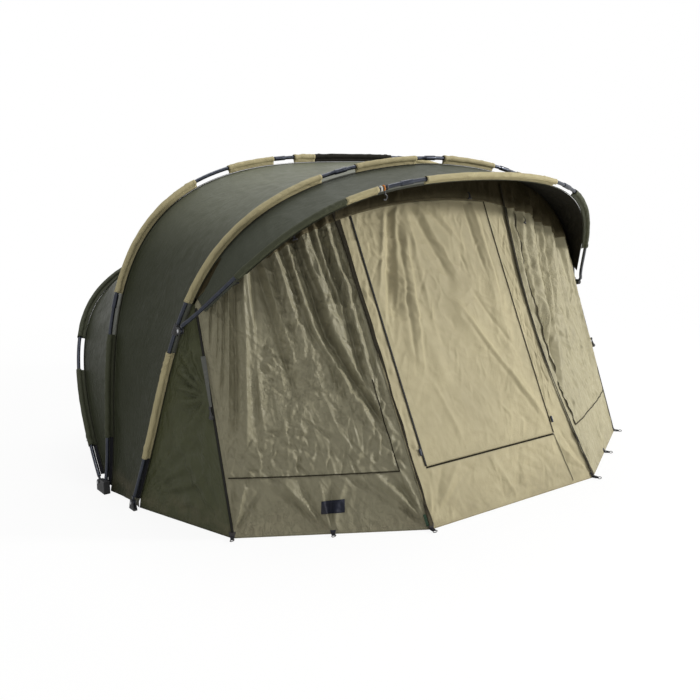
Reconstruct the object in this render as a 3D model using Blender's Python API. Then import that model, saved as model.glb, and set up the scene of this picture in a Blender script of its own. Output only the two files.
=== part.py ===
"""Two-person bivvy tent: four hooped ribs that pivot at ground blocks, sleeved canopy bays, a peaked
visor, a faceted front with a drop door, and a rear wall.

Units are metres, +Z is up, the front faces -Y and the origin is on the ground under the middle of
the plan.
"""

import math

import bmesh
import bpy
from mathutils import Vector

# Clearances and cloth
GAP = 0.0003
CLOTH = 0.0020
HEM_Z = 0.0022
STANDOFF = 0.0300
SEAM_INSET = 0.0012
PANEL_INSET = 0.0007
FRONT_INSET = 0.0042
OVERRUN = 0.0050

# Plan of the ground hem
HALF_DEPTH = 1.380
DOOR_HEM_HALF = 0.543
CORNER_X = 1.278
CORNER_Y = -0.947
MAIN_FOOT_X = 1.500
MAIN_FOOT_Y = -0.107
FRONT_FOOT_X = 1.478
FRONT_FOOT_Y = -0.388
REAR_PIVOT_SETBACK = 0.046
REAR_PEG_ANGLES_DEG = (0.0, 32.0, 60.0, 84.0)

# Crowns of the ribs
MAIN_TOP_Y = -0.008
MAIN_TOP_Z = 1.581
FRONT_TOP_Y = -0.717
FRONT_TOP_Z = 1.572
PEAK_TOP_Y = -1.100
PEAK_TOP_Z = 1.497
REAR_TOP_Y = 1.020
REAR_TOP_Z = 1.120
KNUCKLE_Z = 0.844

# How each half rib bends, as shares of its half width and its rise
MAIN_BEND_SHARES = (0.920, 0.299, 1.079, 1.000, 0.488)
FRONT_BEND_SHARES = (0.858, 0.555, 0.983, 0.899, 0.350)
PEAK_BEND_SHARES = (0.945, 0.060, 0.771, 0.653, 0.702)
REAR_BEND_SHARES = (0.948, 0.961, 0.602, 0.700, 0.600)

# Poles
POLE_R = 0.0090
FERRULE_R = 0.0116
FERRULE_LENGTH = 0.0640
POLE_SIDES = 8
RIB_SEGMENTS = 37
CURVE_SAMPLES = 240

# Sleeves
SLEEVE_WALL = 0.0015
SLEEVE_FIN_HALF = 0.0011
FIN_SPREAD_DEG = 15.0

# Where the sleeves run, from the left foot to the right one, as shares of a rib's length
MAIN_SLEEVE_SHARES = ((0.049, 0.145), (0.184, 0.319), (0.358, 0.411), (0.436, 0.564),
                      (0.589, 0.642), (0.681, 0.816), (0.855, 0.951))
FRONT_SLEEVE_START_SHARE = 0.045
KNUCKLE_CLEAR_SHARES = (0.022, 0.026)
FRONT_SLEEVE_SHARES = (0.370, 0.409, 0.482)
PEAK_SLEEVE_SHARES = ((0.105, 0.322), (0.395, 0.655), (0.718, 0.895))
REAR_SLEEVE_SHARES = ((0.041, 0.480), (0.520, 0.959))
SEVEN = ("left_lower", "left_upper", "left_crown", "crown", "right_crown", "right_upper", "right_lower")
SIX = ("left_lower", "left_upper", "left_crown", "right_crown", "right_upper", "right_lower")
THREE = ("left", "crown", "right")
TWO = ("left", "right")

# Where the pole sections meet on the left and on the right, as shares of a rib's length
MAIN_JOINT_SHARES = ((0.168, 0.832), (0.424, 0.576))
FRONT_JOINT_SHARES = ((0.392, 0.608), (0.500, 0.500))
PEAK_JOINT_SHARES = ((0.365, 0.687),)
REAR_JOINT_SHARES = ((0.500, 0.500),)

# Pivots: a fork, an eye on the pole's end and a headed pin
PIN_R = 0.0040
PIN_HEAD_R = 0.0075
PIN_HEAD = 0.0025
PIN_SIDES = 12
EYE_R = 0.0120
EYE_HALF = 0.0040
EYE_REACH = 0.0320
EYE_WAIST = 0.0140
CHEEK = 0.0060
FORK_R = 0.0150
ROUND_STEPS = 5

# Hub blocks, foot blocks and knuckles
HUB_FRONT = 0.0300
HUB_TOWER_REAR = 0.0180
HUB_TOWER_Z = 0.0640
HUB_PIVOT_Z = 0.0420
HUB_HALF = 0.0160
HUB_FLOOR = 0.0120
SOCKET_FLOOR = 0.0170
FOOT_PIVOT_Z = 0.0340
FOOT_FLOOR = 0.0100
FOOT_HALF_LENGTH = 0.0260
BLOCK_BEVEL = 0.0020
BEVEL_ANGLE_DEG = 50.0
SMOOTH_ANGLE_DEG = 40.0
KNUCKLE_R = 0.0165
KNUCKLE_HALF = 0.0240
KNUCKLE_REACH = 0.0380

# Cloth bays
BAY_COLUMNS = 4
BAY_SAG = 0.0350
VISOR_SAG = 0.0180
REAR_BAY_START_SHARE = 0.014
VISOR_START_SHARES = (0.075, 0.117)
WALL_START_SHARE = 0.014
WALL_ROWS = 5
WALL_SAG = 0.0300
SEAM_CLEAR_SHARE = 0.030
RIDGE_SHARES = (0.374, 0.600)
RIGHT_RIDGE_BOW = 0.0900

# Front panels: the skirt's height, and the cut lines above it as shares of each panel
SKIRT_Z = 0.2400
PANEL_TOP_SHARE = 0.985
DOOR_SIDE_SHARES = (0.068, 0.835)
DOOR_TOP_SHARE = 0.890
COVER_SIDE_SHARES = (0.030, 0.925)
COVER_TOP_SHARE = 0.930
COVER_CLOTH = 0.0020
PANEL_COLUMNS = 10
PANEL_ROWS = 10
DOOR_COLUMNS = 12
DOOR_ROWS = 10

# Main folds of the front: from and to (across, up), how wide, how deep
FOLD_DEPTH = 0.0260
SIDE_FOLD_SHARES = (
    (0.70, 0.92, 0.76, 0.58, 0.035, -0.70),
    (0.76, 0.58, 0.90, 0.33, 0.035, -0.60),
    (0.80, 0.94, 0.83, 0.50, 0.035, 0.75),
    (0.88, 0.80, 0.89, 0.46, 0.030, -0.55),
    (0.58, 0.92, 0.64, 0.45, 0.045, 0.60),
    (0.46, 0.90, 0.50, 0.46, 0.040, -0.35),
    (0.39, 0.90, 0.18, 0.36, 0.045, 0.55),
    (0.27, 0.86, 0.09, 0.34, 0.035, -0.50),
    (0.22, 0.88, 0.09, 0.70, 0.030, -0.40),
    (0.47, 0.02, 0.33, 0.16, 0.040, 0.30),
    (0.97, 0.03, 0.74, 0.15, 0.040, 0.30),
)
DOOR_FOLD_SHARES = (
    (0.29, 0.88, 0.16, 0.60, 0.030, -0.70),
    (0.28, 0.76, 0.19, 0.46, 0.030, 0.55),
    (0.38, 0.88, 0.49, 0.66, 0.035, -0.30),
    (0.43, 0.88, 0.56, 0.78, 0.035, 0.30),
    (0.50, 0.55, 0.80, 0.22, 0.040, 0.50),
    (0.22, 0.80, 0.30, 0.40, 0.040, 0.35),
    (0.76, 0.86, 0.72, 0.40, 0.040, 0.40),
    (0.05, 0.03, 0.20, 0.14, 0.040, 0.30),
    (0.95, 0.03, 0.75, 0.14, 0.040, 0.30),
)
FOLD_EDGE_SHARE = 0.060

# Zip sliders
SLIDER_R = 0.0055
SLIDER_LENGTH = 0.0140
PULL_STEM_R = 0.0022
PULL_STEM = 0.0220
PULL_BALL_R = 0.0120
PULL_TAB_R = 0.0045
PULL_SIDES = 12
COVER_SLIDER_SHARE = 0.550
DOOR_SLIDER_SHARE = 0.040
DOOR_SLIDER_SIDE = 0.0120

# Colours, roughness and metallic values
POLE_LOOK = ((0.030, 0.036, 0.050), 0.35, 0.80)
PLASTIC_LOOK = ((0.020, 0.020, 0.022), 0.55, 0.00)
STEEL_LOOK = ((0.550, 0.560, 0.580), 0.30, 1.00)
SLEEVE_LOOK = ((0.330, 0.300, 0.180), 0.85, 0.00)
ROOF_LOOK = ((0.110, 0.130, 0.090), 0.80, 0.00)
SHADE_LOOK = ((0.045, 0.050, 0.035), 0.85, 0.00)
FRONT_LOOK = ((0.330, 0.300, 0.180), 0.80, 0.00)

RIGHT = 1
LEFT = -1
SIDES = ((LEFT, "left"), (RIGHT, "right"))
X_AXIS = Vector((1.0, 0.0, 0.0))


def clear_scene():
    for old in list(bpy.data.objects):
        bpy.data.objects.remove(old, do_unlink=True)


def material(name, look):
    found = bpy.data.materials.get(name)
    if found:
        return found
    made = bpy.data.materials.new(name)
    made.use_nodes = True
    shader = made.node_tree.nodes["Principled BSDF"]
    shader.inputs["Base Color"].default_value = (*look[0], 1.0)
    shader.inputs["Roughness"].default_value = look[1]
    shader.inputs["Metallic"].default_value = look[2]
    made.diffuse_color = (*look[0], 1.0)
    return made


def finish(bm, name, look, smooth=True):
    """Turns a bmesh into a named object that has its own material."""
    bmesh.ops.recalc_face_normals(bm, faces=bm.faces)
    mesh = bpy.data.meshes.new(name)
    bm.to_mesh(mesh)
    bm.free()
    if smooth:
        mesh.shade_smooth()
        mesh.set_sharp_from_angle(angle=math.radians(SMOOTH_ANGLE_DEG))
    made = bpy.data.objects.new(name, mesh)
    bpy.context.scene.collection.objects.link(made)
    mesh.materials.append(material(name + "_finish", look))
    return made


def combine(target, other, operation):
    """Adds a Boolean to target and leaves other out of the model."""
    step = target.modifiers.new(other.name, "BOOLEAN")
    step.operation = operation
    step.solver = "EXACT"
    step.object = other
    other.hide_render = True
    other.display_type = "WIRE"


def bridge(bm, rings, closed_path=False):
    """Skins a run of vertex rings. A closed path joins the last ring to the first."""
    made = [[bm.verts.new(point) for point in ring] for ring in rings]
    pairs = list(zip(made, made[1:]))
    if closed_path:
        pairs.append((made[-1], made[0]))
    for low, high in pairs:
        for index in range(len(low)):
            after = (index + 1) % len(low)
            bm.faces.new((low[index], low[after], high[after], high[index]))
    if not closed_path:
        bm.faces.new(made[0])
        bm.faces.new(made[-1])


def turned(name, start, direction, profile, sides, look):
    """A round piece: profile gives (distance along direction, radius) from start."""
    along = Vector(direction).normalized()
    side = along.orthogonal().normalized()
    other = along.cross(side)
    rings = []
    for distance, radius in profile:
        ring = []
        for step in range(sides):
            angle = math.tau * step / sides
            ring.append(start + along * distance + side * radius * math.cos(angle)
                        + other * radius * math.sin(angle))
        rings.append(ring)
    bm = bmesh.new()
    bridge(bm, rings)
    return finish(bm, name, look)


class Frame:
    """A place on a rib with its outward and crosswise directions."""

    def __init__(self, point, outward, across):
        self.point = point
        self.outward = outward
        self.across = across

    def at(self, out, side):
        return self.point + self.outward * out + self.across * side


def bezier(points, share):
    """A point on the curve that a list of control points steers."""
    while len(points) > 1:
        points = [a.lerp(b, share) for a, b in zip(points, points[1:])]
    return points[0]


class Rib:
    """A hoop in one plane, from its left foot over the crown to its right foot."""

    def __init__(self, foot, top_y, top_z, bend, neck=0.0):
        """A neck is the straight run that leaves a fork before the rib bends."""
        foot = Vector(foot)
        top = Vector((0.0, top_y, top_z))
        self.rise = Vector((0.0, top.y - foot.y, top.z - foot.z))
        self.up = self.rise.normalized()
        self.across = X_AXIS.cross(self.up)
        self.rise = self.rise - self.up * neck
        start = foot + self.up * neck
        steer = [start, self.steer(start, bend[0], bend[1]), self.steer(start, bend[2], bend[3]),
                 self.steer(start, bend[4], 1.0), top]
        half = [bezier(steer, step / CURVE_SAMPLES) for step in range(CURVE_SAMPLES + 1)]
        mirror = Vector((LEFT, 1.0, 1.0))
        fine = [point * mirror for point in half] + half[-2::-1]
        if neck:
            inner = evenly(fine, RIB_SEGMENTS - 2)
            self.points = [foot * mirror] + inner + [foot]
        else:
            self.points = evenly(fine, RIB_SEGMENTS)
        self.marks = run_lengths(self.points)
        self.length = self.marks[-1]

    def steer(self, start, width_share, rise_share):
        return Vector((start.x * width_share, start.y, start.z)) + self.rise * rise_share

    def tangent(self, index):
        before = self.points[max(index - 1, 0)]
        after = self.points[min(index + 1, len(self.points) - 1)]
        return (after - before).normalized()

    def frame(self, distance):
        """The frame at a distance along the chords, mitred at a bend."""
        distance = min(max(distance, 0.0), self.length)
        index = 0
        while index < RIB_SEGMENTS - 1 and self.marks[index + 1] <= distance:
            index += 1
        run = self.marks[index + 1] - self.marks[index]
        share = (distance - self.marks[index]) / run
        point = self.points[index].lerp(self.points[index + 1], share)
        if share * run < GAP:
            tangent = self.tangent(index)
        elif (1.0 - share) * run < GAP:
            tangent = self.tangent(index + 1)
        else:
            tangent = (self.points[index + 1] - self.points[index]).normalized()
        return Frame(point, self.across.cross(tangent), self.across)

    def frames(self, start, end):
        """The frames from start to end, with each bend between."""
        low, high = min(start, end), max(start, end)
        inner = [mark for mark in self.marks if low + GAP < mark < high - GAP]
        found = [self.frame(mark) for mark in [low] + inner + [high]]
        return found if start <= end else found[::-1]

    def straight(self, share):
        """The middle of the chord nearest to a share, where two pole sections can meet."""
        index = 0
        while self.marks[index + 1] < share * self.length:
            index += 1
        return (self.marks[index] + self.marks[index + 1]) / 2

    def canopy(self, share):
        """The line inside the rib where the cloth meets the sleeve's fin."""
        return self.frame(share * self.length).at(-STANDOFF, 0.0)

    def distance_at_height(self, height):
        """How far along the left half the rib reaches a height."""
        for index in range(RIB_SEGMENTS):
            low, high = self.points[index].z, self.points[index + 1].z
            if low <= height <= high:
                share = (height - low) / (high - low)
                return self.marks[index] + share * (self.marks[index + 1] - self.marks[index])
        return 0.0


def run_lengths(points):
    """The distance along a run of points at each of them."""
    marks = [0.0]
    for a, b in zip(points, points[1:]):
        marks.append(marks[-1] + (b - a).length)
    return marks


def evenly(points, count):
    """The same run with its length shared out evenly."""
    marks = run_lengths(points)
    made = []
    index = 0
    for step in range(count + 1):
        goal = marks[-1] * step / count
        while index < len(points) - 2 and marks[index + 1] < goal:
            index += 1
        share = (goal - marks[index]) / (marks[index + 1] - marks[index])
        made.append(points[index].lerp(points[index + 1], min(share, 1.0)))
    return made


def round_ring(frame, radius):
    """A pole's ring: one corner points straight outward."""
    ring = []
    for step in range(POLE_SIDES):
        angle = math.tau * step / POLE_SIDES
        ring.append(frame.at(radius * math.cos(angle), radius * math.sin(angle)))
    return ring


def sleeve_angles():
    """The corners of a sleeve that match a pole's, without the one that the fin takes."""
    half = POLE_SIDES // 2
    return [math.tau * step / POLE_SIDES for step in range(1 - half, half)]


def sleeve_rings(frame):
    """The outer keyhole and the bore of a sleeve, corner for corner."""
    bore = POLE_R + GAP / math.cos(math.pi / POLE_SIDES)
    fin_bore = (POLE_R + GAP) / math.cos(math.radians(FIN_SPREAD_DEG))
    outer, inner = [], []
    fin_end = -(STANDOFF - CLOTH / 2 - GAP)
    spread = math.pi - math.radians(FIN_SPREAD_DEG)
    for side in (LEFT, RIGHT):
        corner = (frame.at(fin_end, side * SLEEVE_FIN_HALF),
                  frame.at(fin_bore * math.cos(spread), side * fin_bore * math.sin(spread)))
        if side == LEFT:
            outer.append(corner[0])
            inner.append(corner[1])
            for angle in sleeve_angles():
                cosine, sine = math.cos(angle), math.sin(angle)
                wall = bore + SLEEVE_WALL
                outer.append(frame.at(wall * cosine, wall * sine))
                inner.append(frame.at(bore * cosine, bore * sine))
        else:
            outer.append(corner[0])
            inner.append(corner[1])
    return outer, inner


def build_sleeve(name, rib, start_share, end_share, look):
    frames = rib.frames(start_share * rib.length, end_share * rib.length)
    pairs = [sleeve_rings(frame) for frame in frames]
    rings = [outer for outer, inner in pairs] + [inner for outer, inner in reversed(pairs)]
    bm = bmesh.new()
    bridge(bm, rings, closed_path=True)
    return finish(bm, name, look)


def build_pole(name, rib, start, end, socket=False):
    """A pole section from start to end. With a socket, its end swells to hold the next one."""
    half = FERRULE_LENGTH / 2
    if not socket:
        rings = [round_ring(frame, POLE_R) for frame in rib.frames(start, end)]
    else:
        way = 1.0 if end > start else -1.0
        shoulder, mouth = end - way * half, end + way * half
        bore = POLE_R + GAP / math.cos(math.pi / POLE_SIDES)
        rings = [round_ring(frame, POLE_R) for frame in rib.frames(start, shoulder)]
        rings += [round_ring(frame, FERRULE_R) for frame in rib.frames(shoulder, mouth)]
        rings += [round_ring(frame, bore) for frame in rib.frames(mouth, end)]
    bm = bmesh.new()
    bridge(bm, rings)
    return finish(bm, name, POLE_LOOK)


def eye_bar(name, pivot, direction):
    """The flat eye at a pole's end: a disc round the pin and a waist up to the pole."""
    along = Vector(direction).normalized()
    side = X_AXIS.cross(along)
    outline = []
    for step in range(ROUND_STEPS * 2 + 1):
        angle = math.pi * step / (ROUND_STEPS * 2)
        outline.append(side * EYE_R * math.cos(angle) - along * EYE_R * math.sin(angle))
    outline.append(along * EYE_REACH - side * EYE_WAIST / 2)
    outline.append(along * EYE_REACH + side * EYE_WAIST / 2)
    rings = [[pivot + X_AXIS * reach + point for point in outline] for reach in (-EYE_HALF, EYE_HALF)]
    bm = bmesh.new()
    bridge(bm, rings)
    bar = finish(bm, name, POLE_LOOK, smooth=False)
    hole = rod(name + "_hole", pivot, PIN_R + GAP, EYE_HALF + OVERRUN)
    combine(bar, hole, "DIFFERENCE")
    return bar


def rod(name, centre, radius, half_length):
    """A round cutter along X. Its flats, not its corners, lie at the radius."""
    corner = radius / math.cos(math.pi / PIN_SIDES)
    return turned(name, centre, X_AXIS, ((-half_length, corner), (half_length, corner)),
                  PIN_SIDES, PLASTIC_LOOK)


def build_pin(name, pivot, half_width):
    """A headed pin through a fork of the given half width."""
    face = half_width + GAP
    profile = ((-face - PIN_HEAD, PIN_HEAD_R), (-face, PIN_HEAD_R), (-face, PIN_R),
               (face, PIN_R), (face, PIN_HEAD_R), (face + PIN_HEAD, PIN_HEAD_R))
    return turned(name, pivot, X_AXIS, profile, PIN_SIDES, STEEL_LOOK)


def extruded(name, centre_x, half_width, outline, look):
    """An outline in Y and Z carried across X."""
    rings = [[Vector((centre_x + reach, y, z)) for y, z in outline] for reach in (-half_width, half_width)]
    bm = bmesh.new()
    bridge(bm, rings)
    return finish(bm, name, look, smooth=False)


def box(name, low, high):
    """A box cutter between two corners."""
    bm = bmesh.new()
    bmesh.ops.create_cube(bm, size=2.0)
    for vert in bm.verts:
        vert.co = Vector([high[i] if vert.co[i] > 0.0 else low[i] for i in range(3)])
    return finish(bm, name, PLASTIC_LOOK, smooth=False)


def softened(block):
    edge = block.modifiers.new("edges", "BEVEL")
    edge.width = BLOCK_BEVEL
    edge.segments = 1
    edge.limit_method = "ANGLE"
    edge.angle_limit = math.radians(BEVEL_ANGLE_DEG)


def fork_half():
    return EYE_HALF + GAP + CHEEK


def arc_outline(centre_y, centre_z, radius):
    """A half circle over the top, from the front to the rear."""
    points = []
    for step in range(ROUND_STEPS + 1):
        angle = math.pi - math.pi * step / ROUND_STEPS
        points.append((centre_y + radius * math.cos(angle), centre_z + radius * math.sin(angle)))
    return points


def slot_box(name, pivot, low, high):
    half = EYE_HALF + GAP
    return box(name, (pivot.x - half, low[0], low[1]), (pivot.x + half, high[0], high[1]))


def build_hub(side, word, main_rib, pivot):
    """The ground block: a socket for the main rib in front, a fork for the rear rib behind."""
    tower_rear = MAIN_FOOT_Y + HUB_TOWER_REAR
    outline = [(MAIN_FOOT_Y - HUB_FRONT, 0.0), (MAIN_FOOT_Y - HUB_FRONT, HUB_TOWER_Z),
               (tower_rear, HUB_TOWER_Z), (tower_rear, pivot.z)]
    outline += [point for point in arc_outline(pivot.y, pivot.z, FORK_R) if point[0] > tower_rear]
    outline += [(pivot.y + FORK_R, 0.0)]
    hub = extruded(f"hub_block_{word}", pivot.x, HUB_HALF, outline, PLASTIC_LOOK)
    softened(hub)
    slot = slot_box(f"hub_slot_{word}", pivot, (tower_rear - BLOCK_BEVEL, HUB_FLOOR),
                    (pivot.y + FORK_R + OVERRUN, HUB_TOWER_Z + OVERRUN))
    combine(hub, slot, "DIFFERENCE")
    combine(hub, rod(f"hub_bore_{word}", pivot, PIN_R + GAP, HUB_HALF + OVERRUN), "DIFFERENCE")
    bore = POLE_R + GAP / math.cos(math.pi / POLE_SIDES)
    ends = (0.0, main_rib.marks[1]) if side == LEFT else (main_rib.length, main_rib.marks[-2])
    frames = main_rib.frames(*ends)
    frames[0].point = frames[0].point - (frames[1].point - frames[0].point).normalized() * GAP
    bm = bmesh.new()
    bridge(bm, [round_ring(frame, bore) for frame in frames])
    combine(hub, finish(bm, f"hub_socket_{word}", PLASTIC_LOOK), "DIFFERENCE")
    build_pin(f"hub_pin_{word}", pivot, HUB_HALF)


def build_foot(word, pivot):
    """The front rib's ground block: a fork that is open over its whole length."""
    half = FOOT_HALF_LENGTH
    outline = [(pivot.y - half, 0.0)]
    outline += arc_outline(pivot.y, pivot.z, FORK_R)
    outline += [(pivot.y + half, 0.0)]
    foot = extruded(f"front_foot_{word}", pivot.x, fork_half(), outline, PLASTIC_LOOK)
    softened(foot)
    slot = slot_box(f"foot_slot_{word}", pivot, (pivot.y - half - OVERRUN, FOOT_FLOOR),
                    (pivot.y + half + OVERRUN, pivot.z + FORK_R + OVERRUN))
    combine(foot, slot, "DIFFERENCE")
    combine(foot, rod(f"foot_bore_{word}", pivot, PIN_R + GAP, fork_half() + OVERRUN), "DIFFERENCE")
    build_pin(f"foot_pin_{word}", pivot, fork_half())


def build_knuckle(side, word, front_rib, pivot):
    """The clamp on the front rib with a forward fork for the peak rib."""
    middle = front_rib.distance_at_height(KNUCKLE_Z)
    if side == RIGHT:
        middle = front_rib.length - middle
    frames = front_rib.frames(middle - KNUCKLE_HALF, middle + KNUCKLE_HALF)
    bm = bmesh.new()
    bridge(bm, [round_ring(frame, KNUCKLE_R) for frame in frames])
    clamp = finish(bm, f"knuckle_{word}", PLASTIC_LOOK)
    rib_y = front_rib.frame(middle).point.y
    outline = [(rib_y, pivot.z - FORK_R), (rib_y, pivot.z + FORK_R)]
    for step in range(ROUND_STEPS + 1):
        angle = math.pi / 2 + math.pi * step / ROUND_STEPS
        outline.append((pivot.y + FORK_R * math.cos(angle), pivot.z + FORK_R * math.sin(angle)))
    fork = extruded(f"knuckle_fork_{word}", pivot.x, fork_half(), outline, PLASTIC_LOOK)
    combine(clamp, fork, "UNION")
    slot = slot_box(f"knuckle_slot_{word}", pivot, (pivot.y - FORK_R - OVERRUN, pivot.z - FORK_R - OVERRUN),
                    (pivot.y + EYE_R + GAP + GAP, pivot.z + EYE_REACH))
    combine(clamp, slot, "DIFFERENCE")
    combine(clamp, rod(f"knuckle_pin_hole_{word}", pivot, PIN_R + GAP, fork_half() + OVERRUN), "DIFFERENCE")
    bore = POLE_R + GAP / math.cos(math.pi / POLE_SIDES)
    bm = bmesh.new()
    reach = KNUCKLE_HALF + OVERRUN
    bridge(bm, [round_ring(frame, bore) for frame in front_rib.frames(middle - reach, middle + reach)])
    combine(clamp, finish(bm, f"knuckle_rib_hole_{word}", PLASTIC_LOOK), "DIFFERENCE")
    build_pin(f"knuckle_pin_{word}", pivot, fork_half())


def build_rib_poles(name, rib, joint_shares, eyes):
    """The sections of a rib. Each swells at its upper end to hold the next, up to the crown."""
    joints = [[rib.straight(share) for share in pair] for pair in joint_shares]
    crown = joints[-1][0] < joints[-1][1]
    eye_run = EYE_REACH - EYE_HALF if eyes else 0.0
    for index, (side, word) in enumerate(SIDES):
        low = eye_run if side == LEFT else rib.length - eye_run
        for place, pair in enumerate(joints):
            label = ("lower", "upper")[place] if len(joints) > 1 or crown else "half"
            socket = side == LEFT or crown or pair is not joints[-1]
            end = pair[index] if socket else pair[index] + side * GAP
            section = build_pole(f"{name}_pole_{word}_{label}", rib, low, end, socket=socket)
            if eyes and place == 0:
                combine(section, eye_bar(f"{name}_eye_{word}", rib.points[-index], rib.up), "UNION")
            low = pair[index] - side * GAP
    if crown:
        build_pole(f"{name}_pole_crown", rib, joints[-1][0] + GAP, joints[-1][1] - GAP)


def front_sleeve_runs(knuckle_share):
    """The front rib's sleeves: the lower two stop short of the knuckle, and both halves match."""
    below, above = KNUCKLE_CLEAR_SHARES
    end, crown_start, crown_end = FRONT_SLEEVE_SHARES
    left = [(FRONT_SLEEVE_START_SHARE, knuckle_share - below), (knuckle_share + above, end),
            (crown_start, crown_end)]
    return left + [(1.0 - far, 1.0 - near) for near, far in reversed(left)]


def build_sleeves(name, rib, runs, words, look):
    for word, (start, end) in zip(words, runs):
        build_sleeve(f"{name}_sleeve_{word}", rib, start, end, look)


def cloth(name, rows, look, thickness=CLOTH, skip=None):
    """A closed sheet from a grid of points. skip tells which cells are cut out."""
    bm = bmesh.new()
    grid = [[bm.verts.new(point) for point in row] for row in rows]
    for i in range(len(grid) - 1):
        for j in range(len(grid[0]) - 1):
            if skip and skip(i, j):
                continue
            bm.faces.new((grid[i][j], grid[i][j + 1], grid[i + 1][j + 1], grid[i + 1][j]))
    for vert in [vert for vert in bm.verts if not vert.link_faces]:
        bm.verts.remove(vert)
    mesh = bpy.data.meshes.new(name)
    bm.to_mesh(mesh)
    bm.free()
    mesh.shade_smooth()
    made = bpy.data.objects.new(name, mesh)
    bpy.context.scene.collection.objects.link(made)
    mesh.materials.append(material(name + "_finish", look))
    wall = made.modifiers.new("thickness", "SOLIDIFY")
    wall.thickness = thickness
    wall.offset = 0.0
    wall.use_even_offset = False
    return made


def inset_run(start, end, count, first, last, sag):
    """A hanging run from start to end, drawn back at its ends by first and last."""
    span = end - start
    way = span.normalized()
    low, high = start + way * first, end - way * last
    made = []
    for step in range(count + 1):
        share = step / count
        point = low.lerp(high, share)
        point = point + sag * math.sin(math.pi * share)
        made.append(point)
    return made


def inward(a, b, depth):
    """A push toward the tent's inside, level with the middle of a to b."""
    middle = (a + b) / 2
    push = Vector((-middle.x, 0.0, -middle.z))
    return push.normalized() * depth if push.length > depth else Vector()


def build_bay(name, rib_a, rib_b, start_share, look, to_ground):
    """The roof cloth from rib_a to rib_b, with a hem on the ground at each end."""
    rows = []
    for step in range(RIB_SEGMENTS + 1):
        share = start_share + (1.0 - start_share * 2) * step / RIB_SEGMENTS
        a, b = rib_a.canopy(share), rib_b.canopy(share)
        depth = BAY_SAG * min((b - a).length / MAIN_TOP_Z, 1.0) * 2
        rows.append(inset_run(a, b, BAY_COLUMNS, SEAM_INSET, SEAM_INSET, inward(a, b, depth)))
    if to_ground:
        ground = [[Vector((p.x, p.y, HEM_Z)) for p in row] for row in (rows[0], rows[-1])]
        rows = [ground[0]] + rows + [ground[1]]
    return cloth(name, rows, look)


def build_visor(front_rib, peak_rib):
    """The peaked cloth that leans forward from the front rib to the peak rib."""
    from_share = front_rib.distance_at_height(KNUCKLE_Z) / front_rib.length
    rows = []
    for step in range(RIB_SEGMENTS + 1):
        share = step / RIB_SEGMENTS
        low, high = from_share + VISOR_START_SHARES[0], VISOR_START_SHARES[1]
        a = front_rib.canopy(low + (1.0 - low * 2) * share)
        b = peak_rib.canopy(high + (1.0 - high * 2) * share)
        rows.append(inset_run(a, b, BAY_COLUMNS - 1, SEAM_INSET, SEAM_INSET, inward(a, b, VISOR_SAG)))
    return cloth("visor", rows, SHADE_LOOK)


def rear_hem(share):
    """The rear hem on the ground, straight from peg to peg round half an ellipse."""
    angles = [math.radians(180.0 - angle) for angle in REAR_PEG_ANGLES_DEG]
    angles += [math.radians(angle) for angle in reversed(REAR_PEG_ANGLES_DEG)]
    depth = (HALF_DEPTH - MAIN_FOOT_Y) / math.sin(math.radians(REAR_PEG_ANGLES_DEG[-1]))
    width = MAIN_FOOT_X - STANDOFF
    pegs = [Vector((width * math.cos(a), MAIN_FOOT_Y + depth * math.sin(a), HEM_Z)) for a in angles]
    marks = run_lengths(pegs)
    goal = share * marks[-1]
    index = 0
    while index < len(pegs) - 2 and marks[index + 1] < goal:
        index += 1
    return pegs[index].lerp(pegs[index + 1], (goal - marks[index]) / (marks[index + 1] - marks[index]))


def build_rear_wall(rear_rib):
    rows = []
    for step in range(RIB_SEGMENTS + 1):
        share = WALL_START_SHARE + (1.0 - WALL_START_SHARE * 2) * step / RIB_SEGMENTS
        top, foot = rear_rib.canopy(share), rear_hem(share)
        middle = (top + foot) / 2
        push = Vector((-middle.x, MAIN_FOOT_Y - middle.y, 0.0))
        sag = push.normalized() * WALL_SAG * min((top - foot).length / REAR_TOP_Z, 1.0)
        rows.append(inset_run(top, foot, WALL_ROWS, SEAM_INSET, 0.0, sag))
    return cloth("rear_wall", rows, SHADE_LOOK)


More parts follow.
